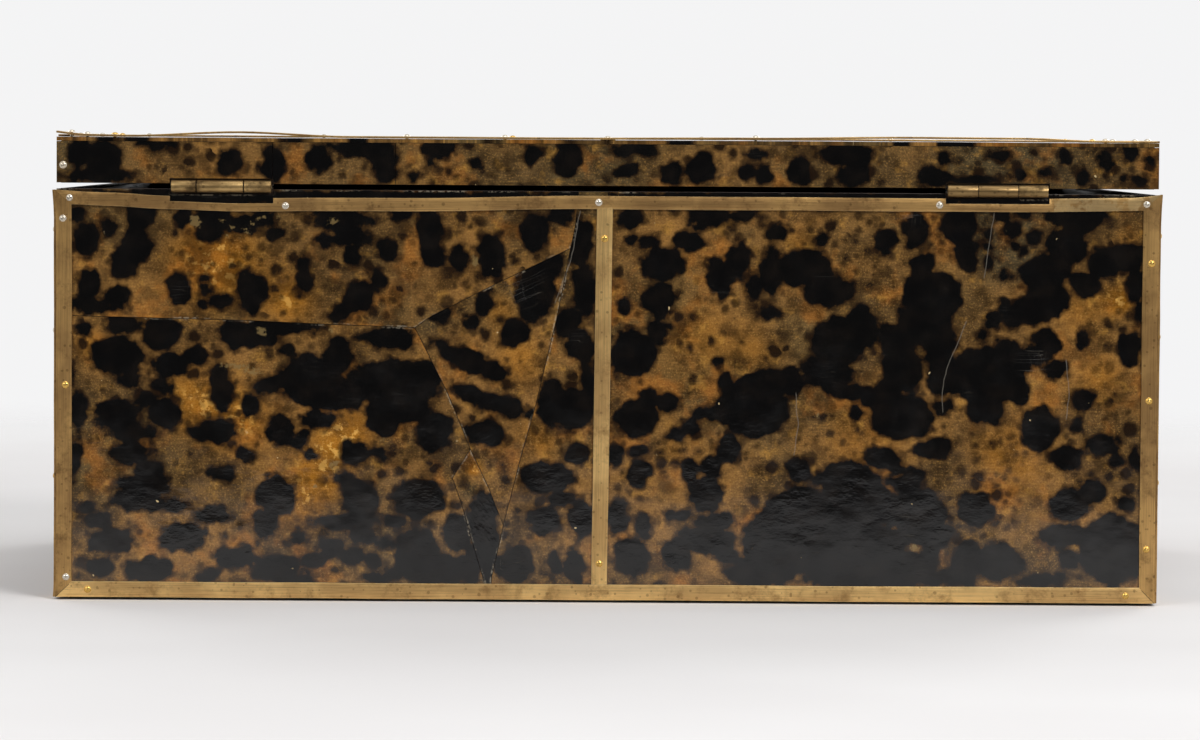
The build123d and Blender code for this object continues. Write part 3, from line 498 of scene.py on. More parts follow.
def pin_material():
    """Most heads are worn to a silvery white, some are still yellow brass."""
    material, tree, surface = new_material("pin heads", Metallic=METALLIC)
    lay = attribute(tree, "lay", "Vector")
    yellow = attribute(tree, "yellow")
    colour = blend_colour(tree, yellow, SILVERY_HEAD, YELLOW_HEAD)
    dirt_and_shade = ramp(tree, cloud(tree, lay, 900.0, 3.0), 0.5, 0.75)
    colour = tint(tree, colour, dirt_and_shade, 0.6, PIN_GRIME)
    scratched = use(tree, SCRATCHES, Vector=lay, Along=300.0, Across=3000.0, Width=0.05, Amount=0.6)
    normal = bump(tree, calc(tree, "SUBTRACT", cloud(tree, lay, 1500.0), scratched), PIN_DEPTH)
    feed(tree, surface, Base_Color=colour, Roughness=ramp(tree, dirt_and_shade, 0.0, 1.0, 0.24, 0.5), Normal=normal)
    return material


PINS = pin_material()

# %% [markdown]
# The unseen parts get the same care, because the lid opens. The carcass and the till are waxed wood with
# grain along each board, the bottles are thick glass, the lid is lined with plain red paper, the writing
# board has a green leather face, and the base stands on green baize.

# %% Wood, paper, leather, cloth and glass
GRAIN_DEPTH = 0.08 * MM
PAPER_DEPTH = 0.05 * MM
NAP_DEPTH = 0.3 * MM
GLASS_DEPTH = 0.4 * MM
PORE = rgb(30, 18, 10)
WOOD_STAIN = rgb(46, 28, 15)
RED_PAPER = rgb(120, 40, 34)
AGED_PAPER = rgb(92, 34, 26)
PAPER_PULP = rgb(146, 66, 52)
FOXING = rgb(60, 24, 16)
GREEN_LEATHER = rgb(36, 62, 42)
SCUFFED_LEATHER = rgb(78, 92, 58)
LEATHER_CREASE = rgb(20, 34, 24)
INK_STAIN = rgb(18, 24, 26)
DARK_BAIZE = rgb(34, 48, 32)
PALE_BAIZE = rgb(62, 78, 52)
WORN_BAIZE = rgb(84, 84, 62)
CLEAR_GLASS = rgb(206, 222, 214)
SEA_GLASS = rgb(188, 208, 200)


def wood_material(name, light, dark, gloss=0.42):
    """Waxed wood with its grain along each board."""
    material, tree, surface = new_material(name, Coat_Roughness=0.2, Coat_Weight=0.15)
    lay = attribute(tree, "lay", "Vector")
    broad = use(tree, STREAKS, Vector=lay, Along=7.0, Across=95.0)
    lines = use(tree, STREAKS, Vector=lay, Along=18.0, Across=620.0)
    pores = use(tree, STREAKS, Vector=lay, Along=90.0, Across=2600.0)
    colour = blend_colour(tree, ramp(tree, broad, 0.36, 0.64), light, dark)
    colour = blend_colour(tree, ramp(tree, lines, 0.45, 0.7, 0.0, 0.6), colour, dark)
    open_pores = ramp(tree, pores, 0.6, 0.72)
    colour = tint(tree, colour, open_pores, 0.55, PORE)
    stain = ramp(tree, cloud(tree, lay, 14.0, 4.0), 0.55, 0.75)
    colour = tint(tree, colour, stain, 0.4, WOOD_STAIN)
    worn = use(tree, WEAR_AND_LIGHT, Edge=attribute(tree, "worn"), Vector=lay, Scale=160.0, Amount=0.6)
    colour = tint(tree, colour, worn, 0.4, light)
    normal = bump(tree, calc(tree, "SUBTRACT", lines, open_pores), GRAIN_DEPTH)
    roughness = ramp(tree, broad, 0.3, 0.7, gloss, gloss + 0.14)
    feed(tree, surface, Base_Color=colour, Roughness=roughness, Normal=normal)
    return material


def paper_material():
    """Plain red lining paper, aged and a little foxed."""
    material, tree, surface = new_material("lining paper")
    lay = attribute(tree, "lay", "Vector")
    pulp = cloud(tree, lay, 700.0, 4.0)
    aged = ramp(tree, cloud(tree, lay, 9.0, 4.0), 0.4, 0.7)
    colour = blend_colour(tree, aged, RED_PAPER, AGED_PAPER)
    colour = blend_colour(tree, ramp(tree, pulp, 0.4, 0.7, 0.0, 0.3), colour, PAPER_PULP)
    foxing = use(tree, DOTS, Vector=lay, Scale=90.0, Size=0.16, Softness=0.2)
    colour = tint(tree, colour, foxing, 0.4, FOXING)
    roughness = ramp(tree, aged, 0.0, 1.0, 0.78, 0.92)
    feed(tree, surface, Base_Color=colour, Roughness=roughness, Normal=bump(tree, pulp, PAPER_DEPTH))
    return material


def leather_material():
    """Green leather with creases, scuffs and ink stains."""
    material, tree, surface = new_material("writing leather")
    lay = attribute(tree, "lay", "Vector")
    grain = add(tree, "ShaderNodeTexVoronoi", {"Vector": lay, "Scale": 900.0}, feature="DISTANCE_TO_EDGE")
    creases = ramp(tree, grain.outputs["Distance"], 0.0, 0.16)
    scuffs = ramp(tree, cloud(tree, lay, 26.0, 5.0), 0.5, 0.75)
    colour = blend_colour(tree, scuffs, GREEN_LEATHER, SCUFFED_LEATHER)
    colour = blend_colour(tree, creases, LEATHER_CREASE, colour)
    stains = use(tree, DOTS, Vector=lay, Scale=34.0, Size=0.2, Softness=0.08)
    colour = tint(tree, colour, stains, 0.5, INK_STAIN)
    roughness = ramp(tree, scuffs, 0.0, 1.0, 0.42, 0.7)
    feed(tree, surface, Base_Color=colour, Roughness=roughness, Normal=bump(tree, creases, GRAIN_DEPTH))
    return material


def cloth_material():
    """Green baize with a nap, worn in patches."""
    material, tree, surface = new_material("base cloth", Sheen_Weight=0.3)
    lay = attribute(tree, "lay", "Vector")
    nap = cloud(tree, lay, 1500.0, 4.0, 0.7)
    wear = ramp(tree, cloud(tree, lay, 22.0, 4.0), 0.45, 0.75)
    colour = blend_colour(tree, ramp(tree, nap, 0.3, 0.7), DARK_BAIZE, PALE_BAIZE)
    colour = tint(tree, colour, wear, 0.5, WORN_BAIZE)
    roughness = ramp(tree, wear, 0.0, 1.0, 0.85, 0.97)
    feed(tree, surface, Base_Color=colour, Roughness=roughness, Normal=bump(tree, nap, NAP_DEPTH))
    return material


def glass_material():
    """Thick greenish glass with slight waves and a film of dust."""
    material, tree, surface = new_material("bottle glass", IOR=1.5, Transmission_Weight=0.85)
    lay = attribute(tree, "lay", "Vector")
    waves = cloud(tree, lay, 60.0, 2.0)
    colour = blend_colour(tree, ramp(tree, waves, 0.3, 0.7), CLEAR_GLASS, SEA_GLASS)
    film = ramp(tree, cloud(tree, lay, 180.0, 4.0), 0.5, 0.8, 0.04, 0.2)
    feed(tree, surface, Base_Color=colour, Roughness=film, Normal=bump(tree, waves, GLASS_DEPTH))
    return material


CASE_WOOD = wood_material("case wood", rgb(58, 38, 25), rgb(30, 20, 13))
TILL_WOOD = wood_material("till wood", rgb(150, 98, 56), rgb(100, 60, 34), 0.36)
BOARD_WOOD = wood_material("board wood", rgb(136, 88, 50), rgb(92, 54, 30), 0.38)
PAPER = paper_material()
LEATHER = leather_material()
CLOTH = cloth_material()
GLASS = glass_material()
print("materials:", [m.name for m in bpy.data.materials if m.users])

# %% [markdown]
# The CAD mesh of a node is loose triangles that point the right way. A copy is joined at its corners
# first, flat areas are dissolved into single faces, and then the copy can be worked: cut across its
# length so that it can bend, and bevelled, because no real edge is perfectly sharp. The new faces of a
# bevel are marked for the materials as worn edges, or for painted shade where they lie in a mitre.

# %% Copies of the CAD nodes
JOIN = 0.004 * MM
SLICE_SNAP = 1e-7
OUTLINE_SNAP = 1e-6
FLAT_WITHIN = math.radians(0.6)
SHARP = math.radians(25)
BEVEL_FROM = math.radians(35)
MITRE_SLANT = 0.2
PAINTED_SHADE = -1.0
SOLID_SHIFT = Vector((0.31, 0.17, 0.23))
record = frame["record"]
BODY_OF = {node: body for body, nodes in record["behaviour"]["bodies"].items() for node in nodes}


def cad_copy(node):
    """The mesh of a CAD node, joined at its corners."""
    mesh = bmesh.new()
    mesh.from_mesh(frame["nodes"][node].data)
    bmesh.ops.remove_doubles(mesh, verts=mesh.verts, dist=JOIN)
    return mesh


def connected(parts, neighbours):
    """Splits the parts of a mesh into groups whose members are neighbours."""
    left = dict.fromkeys(parts)
    groups = []
    while left:
        queue = [left.popitem()[0]]
        group = []
        while queue:
            part = queue.pop()
            group.append(part)
            for other in neighbours(part):
                if other in left:
                    del left[other]
                    queue.append(other)
        groups.append(group)
    return groups


def islands(mesh):
    """The separate solids of a mesh, as lists of vertices."""
    solids = connected(mesh.verts, lambda vert: [edge.other_vert(vert) for edge in vert.link_edges])
    solids = [sorted(solid, key=lambda v: v.index) for solid in solids]
    return sorted(solids, key=lambda solid: solid[0].index)


def join_in(whole, part):
    """Adds one mesh to another and frees it."""
    data = bpy.data.meshes.new("part")
    part.to_mesh(data)
    part.free()
    whole.from_mesh(data)
    bpy.data.meshes.remove(data)


def in_space(axis, a, b, c=0.0):
    """A vector from two values on a plane and one along the plane's axis."""
    values = [a, b]
    values.insert(axis, c)
    return Vector(values)


def slice_across(mesh, axis, step):
    """Cuts a mesh at even places along an axis, so that it can bend there."""
    places = [v.co[axis] for v in mesh.verts]
    low, high = min(places), max(places)
    count = max(1, round((high - low) / step))
    normal = Vector([1.0 if i == axis else 0.0 for i in range(3)])
    for i in range(1, count):
        point = normal * (low + (high - low) * i / count)
        geometry = mesh.verts[:] + mesh.edges[:] + mesh.faces[:]
        bmesh.ops.bisect_plane(mesh, geom=geometry, dist=SLICE_SNAP, plane_co=point, plane_no=normal)


def soften_edges(mesh, width, shortest, mark=1.0):
    """Bevels the sharp edges that are long enough, and marks the new faces as worn (1), or for painted shade
    (-1) in a mitre and where the mark asks for it.
    """
    worn = mesh.faces.layers.float.get("worn") or mesh.faces.layers.float.new("worn")
    edges = [e for e in mesh.edges if len(e.link_faces) == 2 and e.calc_length() > shortest
             and e.calc_face_angle(0.0) > BEVEL_FROM]
    made = bmesh.ops.bevel(mesh, geom=edges, offset=width, offset_type="OFFSET", segments=2,
                           profile=0.5, affect="EDGES", clamp_overlap=True, material=-1)
    for face in made["faces"]:
        face.normal_update()
        mitre = min(abs(v) for v in face.normal) > MITRE_SLANT
        face[worn] = PAINTED_SHADE if mitre else mark


def write_lay(mesh):
    """Gives every point its place along, across and through its own solid, longest side first."""
    layer = mesh.verts.layers.float_vector.new("lay")
    mesh.verts.index_update()
    for count, solid in enumerate(islands(mesh)):
        spans = [max(v.co[i] for v in solid) - min(v.co[i] for v in solid) for i in range(3)]
        order = sorted(range(3), key=lambda i: -spans[i])
        shift = SOLID_SHIFT * (count + 1)
        for vert in solid:
            vert[layer] = Vector([vert.co[i] for i in order]) + shift


def finish_piece(name, mesh, material, nodes):
    """Makes the object that stands for some CAD nodes and rides on their body."""
    if "lay" not in mesh.verts.layers.float_vector:
        write_lay(mesh)
    for face in mesh.faces:
        face.smooth = True
    for edge in mesh.edges:
        if len(edge.link_faces) == 2 and edge.calc_face_angle(0.0) > SHARP:
            edge.smooth = False
    data = bpy.data.meshes.new(name)
    mesh.to_mesh(data)
    mesh.free()
    data.materials.append(material)
    piece = new_object(name, data)
    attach(piece, BODY_OF[nodes[0]])
    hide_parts(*nodes)
    return piece


def refine(node, material, bevel=0.3, shortest=1.5, step=None, axis=0, shape=None, mark=1.0):
    """A worked copy of one CAD node."""
    mesh = cad_copy(node)
    bmesh.ops.dissolve_limit(mesh, angle_limit=FLAT_WITHIN, verts=mesh.verts, edges=mesh.edges)
    if step:
        slice_across(mesh, axis, step * MM)
    if bevel:
        soften_edges(mesh, bevel * MM, shortest * MM, mark)
    if shape:
        for vert in mesh.verts:
            vert.co = shape(vert.co)
    piece = finish_piece(node + "_finished", mesh, material, [node])
    print(piece.name, len(piece.data.polygons), "faces")
    return piece

# %% [markdown]
# A tortoiseshell plate needs a dense mesh, because its blotches are stored at its points. The outline is
# read from the CAD node's own outer face, so every seam, notch and keyhole stays where the CAD has it. A
# grid is laid over it and cut along each side of the outline with bisect_plane, the faces outside are
# dropped, and the rim is extruded back to the plate's thickness and filled.

# %% Dense plates
SEAM_GAP = 0.13
PLATE_T = 1.5
SMALLEST_PLATE = 100.0
RIPPLE = 0.08
RIPPLE_WAVES = ((28.0, 1.0), (120.0, 0.35))
ON_PLANE = 0.01
SHORTEST_RUN = 0.01
LEAST_TURN = 0.005
SHARPEST_CORNER = 0.4


def face_groups(mesh, axis, level):
    """The faces on one plane, as groups that are joined across plain edges."""
    flat = [f for f in mesh.faces if all(abs(v.co[axis] - level) < ON_PLANE * MM for v in f.verts)]
    return connected(flat, lambda face: [other for edge in face.edges if len(edge.link_faces) == 2
                                         for other in edge.link_faces])


def area_of(points):
    """The area of an outline, below zero where it runs clockwise."""
    pairs = zip(points, points[1:] + points[:1])
    return sum(a[0] * b[1] - b[0] * a[1] for a, b in pairs) / 2


def longest_loop(group, sides):
    """The outline of a group of faces as points in mm, anticlockwise from its leftmost corner."""
    inside = set(group)
    follow = {}
    for face in group:
        for edge in face.edges:
            if sum(other in inside for other in edge.link_faces) == 1:
                a, b = edge.verts
                follow.setdefault(a, []).append(b)
                follow.setdefault(b, []).append(a)
    loops = []
    while follow:
        start = next(iter(follow))
        loop = [start]
        here = start
        while follow.get(here):
            there = follow[here].pop()
            follow[there].remove(here)
            loop.append(there)
            here = there
        follow = {v: n for v, n in follow.items() if n}
        loops.append([tuple(v.co[side] / MM for side in sides) for v in loop[:-1]])
    loop = max(loops, key=lambda points: abs(area_of(points)))
    if area_of(loop) < 0:
        loop = loop[::-1]
    first = loop.index(min(loop))
    return loop[first:] + loop[:first]


def drop_straight(points):
    """Leaves out the points that lie on a straight run."""
    kept = []
    for i, here in enumerate(points):
        before, after = points[i - 1], points[(i + 1) % len(points)]
        d1 = Vector(here) - Vector(before)
        d2 = Vector(after) - Vector(here)
        turn = abs(d1.normalized().cross(d2.normalized()))
        if min(d1.length, d2.length) > SHORTEST_RUN and turn > LEAST_TURN:
            kept.append(here)
    return kept


def shrink(points, gap):
    """The outline moved inwards all round, which leaves a hairline at a seam."""
    moved = []
    for i, here in enumerate(points):
        d1 = (Vector(here) - Vector(points[i - 1])).normalized()
        d2 = (Vector(points[(i + 1) % len(points)]) - Vector(here)).normalized()
        n1, n2 = Vector((-d1.y, d1.x)), Vector((-d2.y, d2.x))
        moved.append(Vector(here) + (n1 + n2) * gap / max(SHARPEST_CORNER, 1 + n1.dot(n2)))
    return [tuple(p) for p in moved]


def is_inside(outline, a, b):
    """True where points lie inside an outline."""
    result = np.zeros(len(a), bool)
    for (a0, b0), (a1, b1) in zip(outline, outline[1:] + outline[:1]):
        if b0 != b1:
            crosses = (b0 > b) != (b1 > b)
            result ^= crosses & (a < (a1 - a0) * (b - b0) / (b1 - b0) + a0)
    return result


def put_in_order(parts, place):
    """Stores the points or faces of a mesh in an order that depends only on where they are."""
    ranks = {part: i for i, part in enumerate(sorted(parts, key=lambda one: tuple(place(one))))}
    parts.sort(key=ranks.get)


def grid_over(outline, axis, level, step):
    """A flat grid that covers an outline, cut along each of its sides."""
    sides = [i for i in range(3) if i != axis]
    a, b = zip(*outline)
    low, high = Vector((min(a), min(b))) * MM, Vector((max(a), max(b))) * MM
    span, centre = high - low, (low + high) / 2
    place = Matrix.Identity(4)
    for column, (side, size) in enumerate(zip(sides + [axis], (span.x, span.y, 1.0))):
        place.col[column] = [size if row == side else 0.0 for row in range(4)]
    place.translation = in_space(axis, centre.x, centre.y, level)
    mesh = bmesh.new()
    counts = [max(2, round(size / (step * MM))) for size in span]
    bmesh.ops.create_grid(mesh, x_segments=counts[0], y_segments=counts[1], size=0.5, matrix=place)
    for p, q in zip(outline, outline[1:] + outline[:1]):
        on_rim = any(p[i] == q[i] and p[i] in (min(line), max(line)) for i, line in enumerate((a, b)))
        if not on_rim:
            point = in_space(axis, p[0] * MM, p[1] * MM, level)
            normal = in_space(axis, p[1] - q[1], q[0] - p[0]).normalized()
            geometry = mesh.verts[:] + mesh.edges[:] + mesh.faces[:]
            bmesh.ops.bisect_plane(mesh, geom=geometry, dist=OUTLINE_SNAP, plane_co=point, plane_no=normal)
    return mesh


def grid_plate(outline, axis, level, out, step):
    """A closed plate with a dense outer face."""
    sides = [i for i in range(3) if i != axis]
    mesh = grid_over(outline, axis, level, step)
    centres = np.array([f.calc_center_median() for f in mesh.faces]) / MM
    inside = is_inside(outline, centres[:, sides[0]], centres[:, sides[1]])
    outside = [face for face, keep in zip(mesh.faces, inside) if not keep]
    bmesh.ops.delete(mesh, geom=outside, context="FACES")
    for vert in mesh.verts:
        wave = sum(share * noise.noise(vert.co * scale) for scale, share in RIPPLE_WAVES)
        vert.co[axis] += out * wave * RIPPLE * MM
    rim = [e for e in mesh.edges if e.is_boundary]
    made = bmesh.ops.extrude_edge_only(mesh, edges=rim)["geom"]
    for vert in (g for g in made if isinstance(g, bmesh.types.BMVert)):
        vert.co[axis] = level - out * PLATE_T * MM
    back = [g for g in made if isinstance(g, bmesh.types.BMEdge) and g.is_boundary]
    bmesh.ops.edgeloop_fill(mesh, edges=back)
    bmesh.ops.recalc_face_normals(mesh, faces=mesh.faces)
    put_in_order(mesh.verts, lambda vert: vert.co)
    put_in_order(mesh.faces, lambda face: face.calc_center_median())
    return mesh

# %% [markdown]
# The blotches of the back and of the lid's edge are listed as ellipses in photo pixels: centre,
# width, height and, where one leans, its turn in degrees. Each plate takes only the blotches whose centre
# lies on it, so the pattern breaks at the seams as it does on the box. The sides that the photograph
# doesn't show get blotches from a seeded random source with the same sizes and spacing.

# %% Blotches of the back, left half
upper_left_blots = [
    (76, 215, 16, 14), (85, 239, 24, 28), (110, 228, 15, 19), (140, 212, 30, 28), (137, 232, 22, 24),
    (134, 247, 32, 30), (127, 258, 28, 28), (125, 268, 24, 22), (183, 217, 16, 18), (214, 216, 30, 20),
    (210, 232, 26, 16), (178, 290, 22, 27), (206, 278, 11, 8), (204, 289, 8, 10), (201, 302, 9, 10),
    (220, 302, 22, 15), (89, 285, 21, 27), (118, 297, 26, 20), (97, 305, 60, 12), (340, 219, 56, 15),
    (349, 234, 38, 22), (353, 256, 14, 22), (324, 240, 18, 16), (387, 251, 24, 21), (305, 275, 14, 34),
    (251, 292, 28, 42), (377, 280, 15, 25), (358, 298, 26, 32), (340, 313, 21, 16), (430, 230, 22, 48),
    (434, 257, 24, 20), (276, 236, 12, 9), (242, 223, 42, 14), (459, 259, 18, 28), (491, 257, 27, 40),
    (535, 230, 28, 40), (262, 218, 20, 14), (244, 230, 18, 10), (402, 213, 16, 10), (560, 215, 24, 16),
    (300, 196, 560, 12), (219, 196, 110, 14),
]
lower_left_blots = [
    (83, 327, 11, 10), (122, 324, 32, 18), (161, 332, 34, 36), (117, 356, 52, 38), (170, 365, 30, 23),
    (195, 356, 22, 18), (234, 333, 20, 28), (118, 414, 46, 28), (165, 414, 29, 32), (78, 412, 15, 34),
    (74, 374, 6, 12), (133, 433, 40, 18), (215, 431, 45, 20), (219, 377, 18, 22), (76, 449, 10, 14),
    (132, 454, 38, 20), (150, 472, 28, 22), (142, 485, 50, 22), (140, 500, 50, 18), (111, 540, 40, 24),
    (182, 537, 42, 26), (222, 473, 24, 14), (212, 515, 32, 15), (152, 570, 42, 20), (231, 559, 30, 18),
    (206, 577, 20, 12), (252, 333, 56, 26), (297, 327, 48, 12), (338, 357, 30, 38), (307, 380, 55, 46),
    (339, 394, 50, 35), (387, 338, 48, 22), (395, 383, 90, 45), (383, 418, 32, 30), (266, 386, 27, 18),
    (353, 453, 25, 24), (280, 431, 26, 28), (287, 351, 13, 12), (379, 455, 18, 11), (276, 495, 37, 38),
    (266, 523, 24, 28), (360, 497, 34, 35), (349, 522, 62, 14), (362, 536, 26, 16), (416, 498, 44, 36),
    (395, 522, 20, 14), (238, 557, 36, 20), (278, 568, 48, 26), (315, 558, 20, 15), (353, 557, 23, 18),
    (332, 547, 21, 17), (386, 543, 13, 12), (372, 561, 15, 15), (416, 555, 42, 52), (374, 578, 17, 9),
    (434, 431, 37, 38), (423, 497, 45, 32), (457, 533, 27, 34), (427, 570, 50, 30), (100, 568, 22, 14),
    (88, 508, 14, 12), (246, 455, 14, 10), (300, 538, 16, 12), (400, 408, 60, 30), (430, 372, 30, 26),
    (222, 392, 22, 36), (100, 520, 24, 14), (72, 470, 12, 20), (450, 568, 40, 30), (150, 400, 30, 14),
    (250, 405, 16, 20), (318, 420, 30, 18), (300, 440, 16, 14), (345, 478, 16, 12), (310, 455, 10, 10),
    (175, 505, 16, 10), (128, 380, 20, 12), (160, 385, 18, 12), (295, 580, 30, 12), (390, 575, 20, 12),
]
wedge_and_centre_blots = [
    (442, 314, 19, 15), (484, 302, 17, 22), (471, 321, 12, 12), (535, 290, 35, 62), (514, 334, 29, 27),
    (470, 361, 72, 19, 25), (490, 401, 82, 19, 18), (486, 434, 39, 25), (552, 262, 20, 30),
    (576, 240, 30, 50), (584, 290, 20, 50), (568, 322, 24, 30), (580, 345, 27, 32), (552, 402, 26, 48),
    (572, 408, 38, 46), (588, 385, 16, 40), (546, 477, 52, 28), (545, 520, 30, 26), (582, 520, 26, 34),
    (514, 565, 36, 36), (555, 565, 13, 20), (576, 454, 26, 22), (562, 500, 26, 12), (575, 566, 20, 30),
    (575, 196, 60, 12), (482, 545, 36, 92), (470, 566, 20, 40), (488, 507, 26, 26),
]

# %% Blotches of the back, right half
right_upper_blots = [
    (631, 219, 24, 16), (709, 216, 36, 16), (747, 214, 22, 14), (776, 231, 25, 14), (633, 239, 14, 13),
    (651, 241, 16, 13), (662, 263, 40, 30), (688, 241, 27, 19), (738, 260, 20, 34), (722, 279, 24, 40),
    (754, 288, 18, 26), (771, 272, 20, 44), (660, 300, 33, 35), (624, 305, 12, 12), (770, 314, 18, 13),
    (657, 327, 22, 10), (821, 241, 12, 12), (802, 269, 58, 36), (829, 291, 46, 30), (885, 240, 25, 22),
    (915, 230, 22, 34), (959, 224, 36, 34), (966, 256, 24, 30), (922, 267, 22, 26), (932, 298, 58, 52),
    (860, 318, 26, 26), (1062, 217, 28, 16), (1084, 222, 46, 24, -35), (1066, 245, 40, 34),
    (1046, 272, 54, 34, -20), (1048, 300, 38, 34), (1103, 262, 34, 28), (1128, 258, 34, 26),
    (1087, 284, 34, 22), (1136, 286, 16, 30), (880, 198, 600, 12), (1002, 199, 110, 14),
    (1030, 311, 40, 28), (1004, 304, 10, 12), (995, 319, 15, 14), (1011, 320, 14, 17),
    (1140, 313, 14, 26), (1012, 229, 16, 14), (1000, 217, 15, 10), (1026, 214, 18, 10), (1024, 252, 9, 8),
    (987, 246, 9, 7), (1013, 245, 10, 8), (990, 262, 8, 10), (1003, 277, 12, 8), (1034, 238, 14, 9),
    (986, 234, 8, 9), (715, 266, 16, 15), (698, 226, 14, 9), (983, 335, 14, 11), (1006, 346, 28, 14),
    (1047, 341, 24, 22), (1027, 358, 46, 20, -22), (1083, 339, 11, 16), (1055, 371, 22, 16),
    (988, 376, 78, 56), (1020, 394, 18, 21), (987, 411, 36, 26), (1082, 400, 26, 20), (1040, 428, 38, 44),
    (1077, 425, 12, 11), (1102, 444, 30, 20), (1116, 462, 14, 13), (1067, 458, 27, 24),
    (1135, 458, 11, 17), (1130, 348, 26, 30), (622, 352, 16, 40), (634, 354, 44, 44), (657, 334, 20, 22),
    (719, 361, 8, 7), (726, 380, 18, 17), (840, 340, 56, 50), (828, 372, 52, 36), (896, 340, 56, 32),
    (900, 372, 44, 44), (935, 340, 40, 50), (945, 375, 34, 40), (862, 328, 30, 20), (918, 318, 40, 30),
    (880, 396, 46, 18), (846, 392, 30, 14),
]
right_lower_blots = [
    (637, 418, 42, 36), (647, 397, 14, 14), (669, 403, 22, 17), (706, 413, 24, 15), (753, 407, 70, 60),
    (788, 381, 30, 26), (765, 377, 16, 14), (729, 449, 22, 24), (691, 427, 16, 18), (675, 435, 17, 10),
    (640, 451, 16, 12), (615, 455, 15, 18), (712, 464, 18, 14), (902, 417, 60, 44), (857, 412, 12, 12),
    (943, 408, 20, 13), (920, 448, 12, 10), (939, 448, 26, 22), (880, 458, 38, 20), (639, 473, 26, 25),
    (689, 473, 15, 24), (713, 468, 19, 16), (706, 494, 32, 30), (618, 518, 18, 32), (642, 527, 15, 24),
    (632, 557, 34, 34), (677, 555, 30, 30), (715, 522, 34, 20), (678, 516, 22, 12), (706, 539, 56, 26),
    (726, 557, 25, 14), (974, 509, 36, 32), (1069, 505, 35, 32), (1092, 492, 24, 23), (1126, 504, 15, 11),
    (1062, 536, 44, 22), (1112, 550, 64, 70), (1069, 560, 17, 17), (997, 562, 54, 34), (968, 562, 30, 40),
    (1047, 579, 44, 12), (800, 470, 24, 24), (846, 478, 60, 30), (905, 478, 40, 22), (800, 510, 60, 44),
    (860, 505, 80, 50), (916, 512, 60, 44), (778, 545, 72, 70), (840, 548, 100, 74), (905, 556, 70, 60),
    (760, 572, 60, 26), (870, 578, 120, 20), (944, 578, 50, 16), (940, 535, 24, 24), (775, 520, 30, 40),
]
lid_back_blots = [
    (975, 180, 46, 9), (945, 160, 12, 8), (1000, 156, 16, 8), (1046, 174, 14, 9), (1066, 158, 12, 12),
    (80, 152, 23, 27), (104, 158, 34, 36), (157, 144, 29, 11), (232, 162, 27, 25), (272, 162, 23, 36),
    (318, 158, 22, 25), (362, 148, 58, 18), (381, 158, 31, 22), (387, 173, 22, 14), (439, 148, 32, 20),
    (430, 165, 11, 14), (413, 176, 7, 7), (533, 153, 14, 18), (568, 158, 27, 29), (625, 150, 25, 13),
    (629, 170, 20, 14), (647, 149, 22, 16), (671, 173, 22, 20), (701, 167, 29, 27), (757, 153, 18, 15),
    (747, 172, 13, 14), (765, 175, 16, 18), (800, 172, 20, 27), (846, 154, 52, 23), (854, 176, 27, 20),
    (927, 174, 14, 18), (936, 177, 27, 18), (1020, 174, 11, 11), (1106, 160, 15, 22), (1085, 177, 12, 13),
    (96, 176, 54, 13), (1130, 154, 13, 17), (1149, 159, 9, 9), (1124, 179, 8, 11), (1139, 181, 11, 7),
    (476, 164, 8, 9),
]

# %% [markdown]
# The other marks of the back are listed in photo pixels too. Clear patches are openings in the
# blotches, and pale chips are flakes lost from the surface. A warm patch has a centre, a reach and an
# amount, which is below zero where the ground is cooler. A crack is a line of points.

# %% Other marks of the back
clear_patches = [
    (196, 222, 14, 10), (332, 233, 12, 10), (878, 360, 12, 46), (920, 352, 12, 12), (913, 549, 18, 12),
    (965, 536, 20, 16), (896, 476, 12, 8), (952, 487, 44, 22), (836, 424, 30, 36), (768, 462, 12, 16),
]
warm_patches = [
    (215, 262, 70, 0.9), (290, 300, 40, 0.7), (90, 345, 26, 0.6), (190, 400, 50, 0.7),
    (240, 420, 50, 0.8), (320, 467, 44, 1.0), (350, 430, 40, 0.9), (300, 510, 40, 0.6),
    (520, 360, 40, 0.6), (540, 440, 30, 0.6), (700, 340, 60, 0.5), (760, 350, 40, 0.4),
    (640, 380, 40, 0.3), (1080, 310, 40, 0.5), (1100, 380, 40, 0.6), (1010, 460, 60, 0.6),
    (860, 440, 60, 0.5), (680, 450, 50, 0.4), (90, 500, 40, 0.2), (500, 310, 30, 0.5),
    (470, 490, 16, -0.9), (430, 320, 30, -0.6), (120, 590, 90, -0.3), (330, 150, 60, -0.2),
    (590, 170, 60, -0.3), (1010, 162, 90, -0.8), (200, 175, 40, 0.4), (740, 240, 30, -0.5),
    (1020, 270, 24, -0.6), (1130, 240, 30, 0.4), (1120, 300, 24, 0.9), (1000, 235, 50, -1.6),
    (473, 468, 12, 1.3), (80, 160, 60, -0.5), (800, 245, 26, 0.5),
]
pale_chips = [
    (196, 222, 15, 11), (262, 332, 12, 9), (238, 366, 34, 6), (256, 372, 24, 5), (334, 464, 14, 8),
    (316, 488, 10, 6), (474, 262, 8, 12), (380, 439, 6, 6), (913, 549, 12, 8), (755, 549, 6, 5),
    (820, 415, 6, 8), (330, 330, 6, 5), (222, 221, 9, 4), (233, 228, 8, 5), (247, 231, 7, 5),
    (240, 239, 6, 4), (262, 218, 11, 5), (280, 216, 9, 5), (252, 223, 6, 4), (228, 236, 5, 4),
    (332, 221, 12, 7),
]
cracks = [
    [(994, 216), (988, 253), (985, 275)], [(965, 324), (951, 357), (944, 380), (943, 409)],
    [(796, 396), (798, 424), (794, 452)], [(1066, 363), (1069, 390), (1067, 416)],
    [(580, 214), (570, 262), (556, 300)],
]

# %% [markdown]
# Every point of a plate asks each ellipse how deep inside it lies. The deepest answer wins, rounded where
# two are close, so neighbours run together like drops. The point is first pushed a little by noise, which
# makes the outlines lobed instead of smooth. Blender takes the start of its vector noise from the clock, so
# a seed is set first, and every run gives the same outlines.

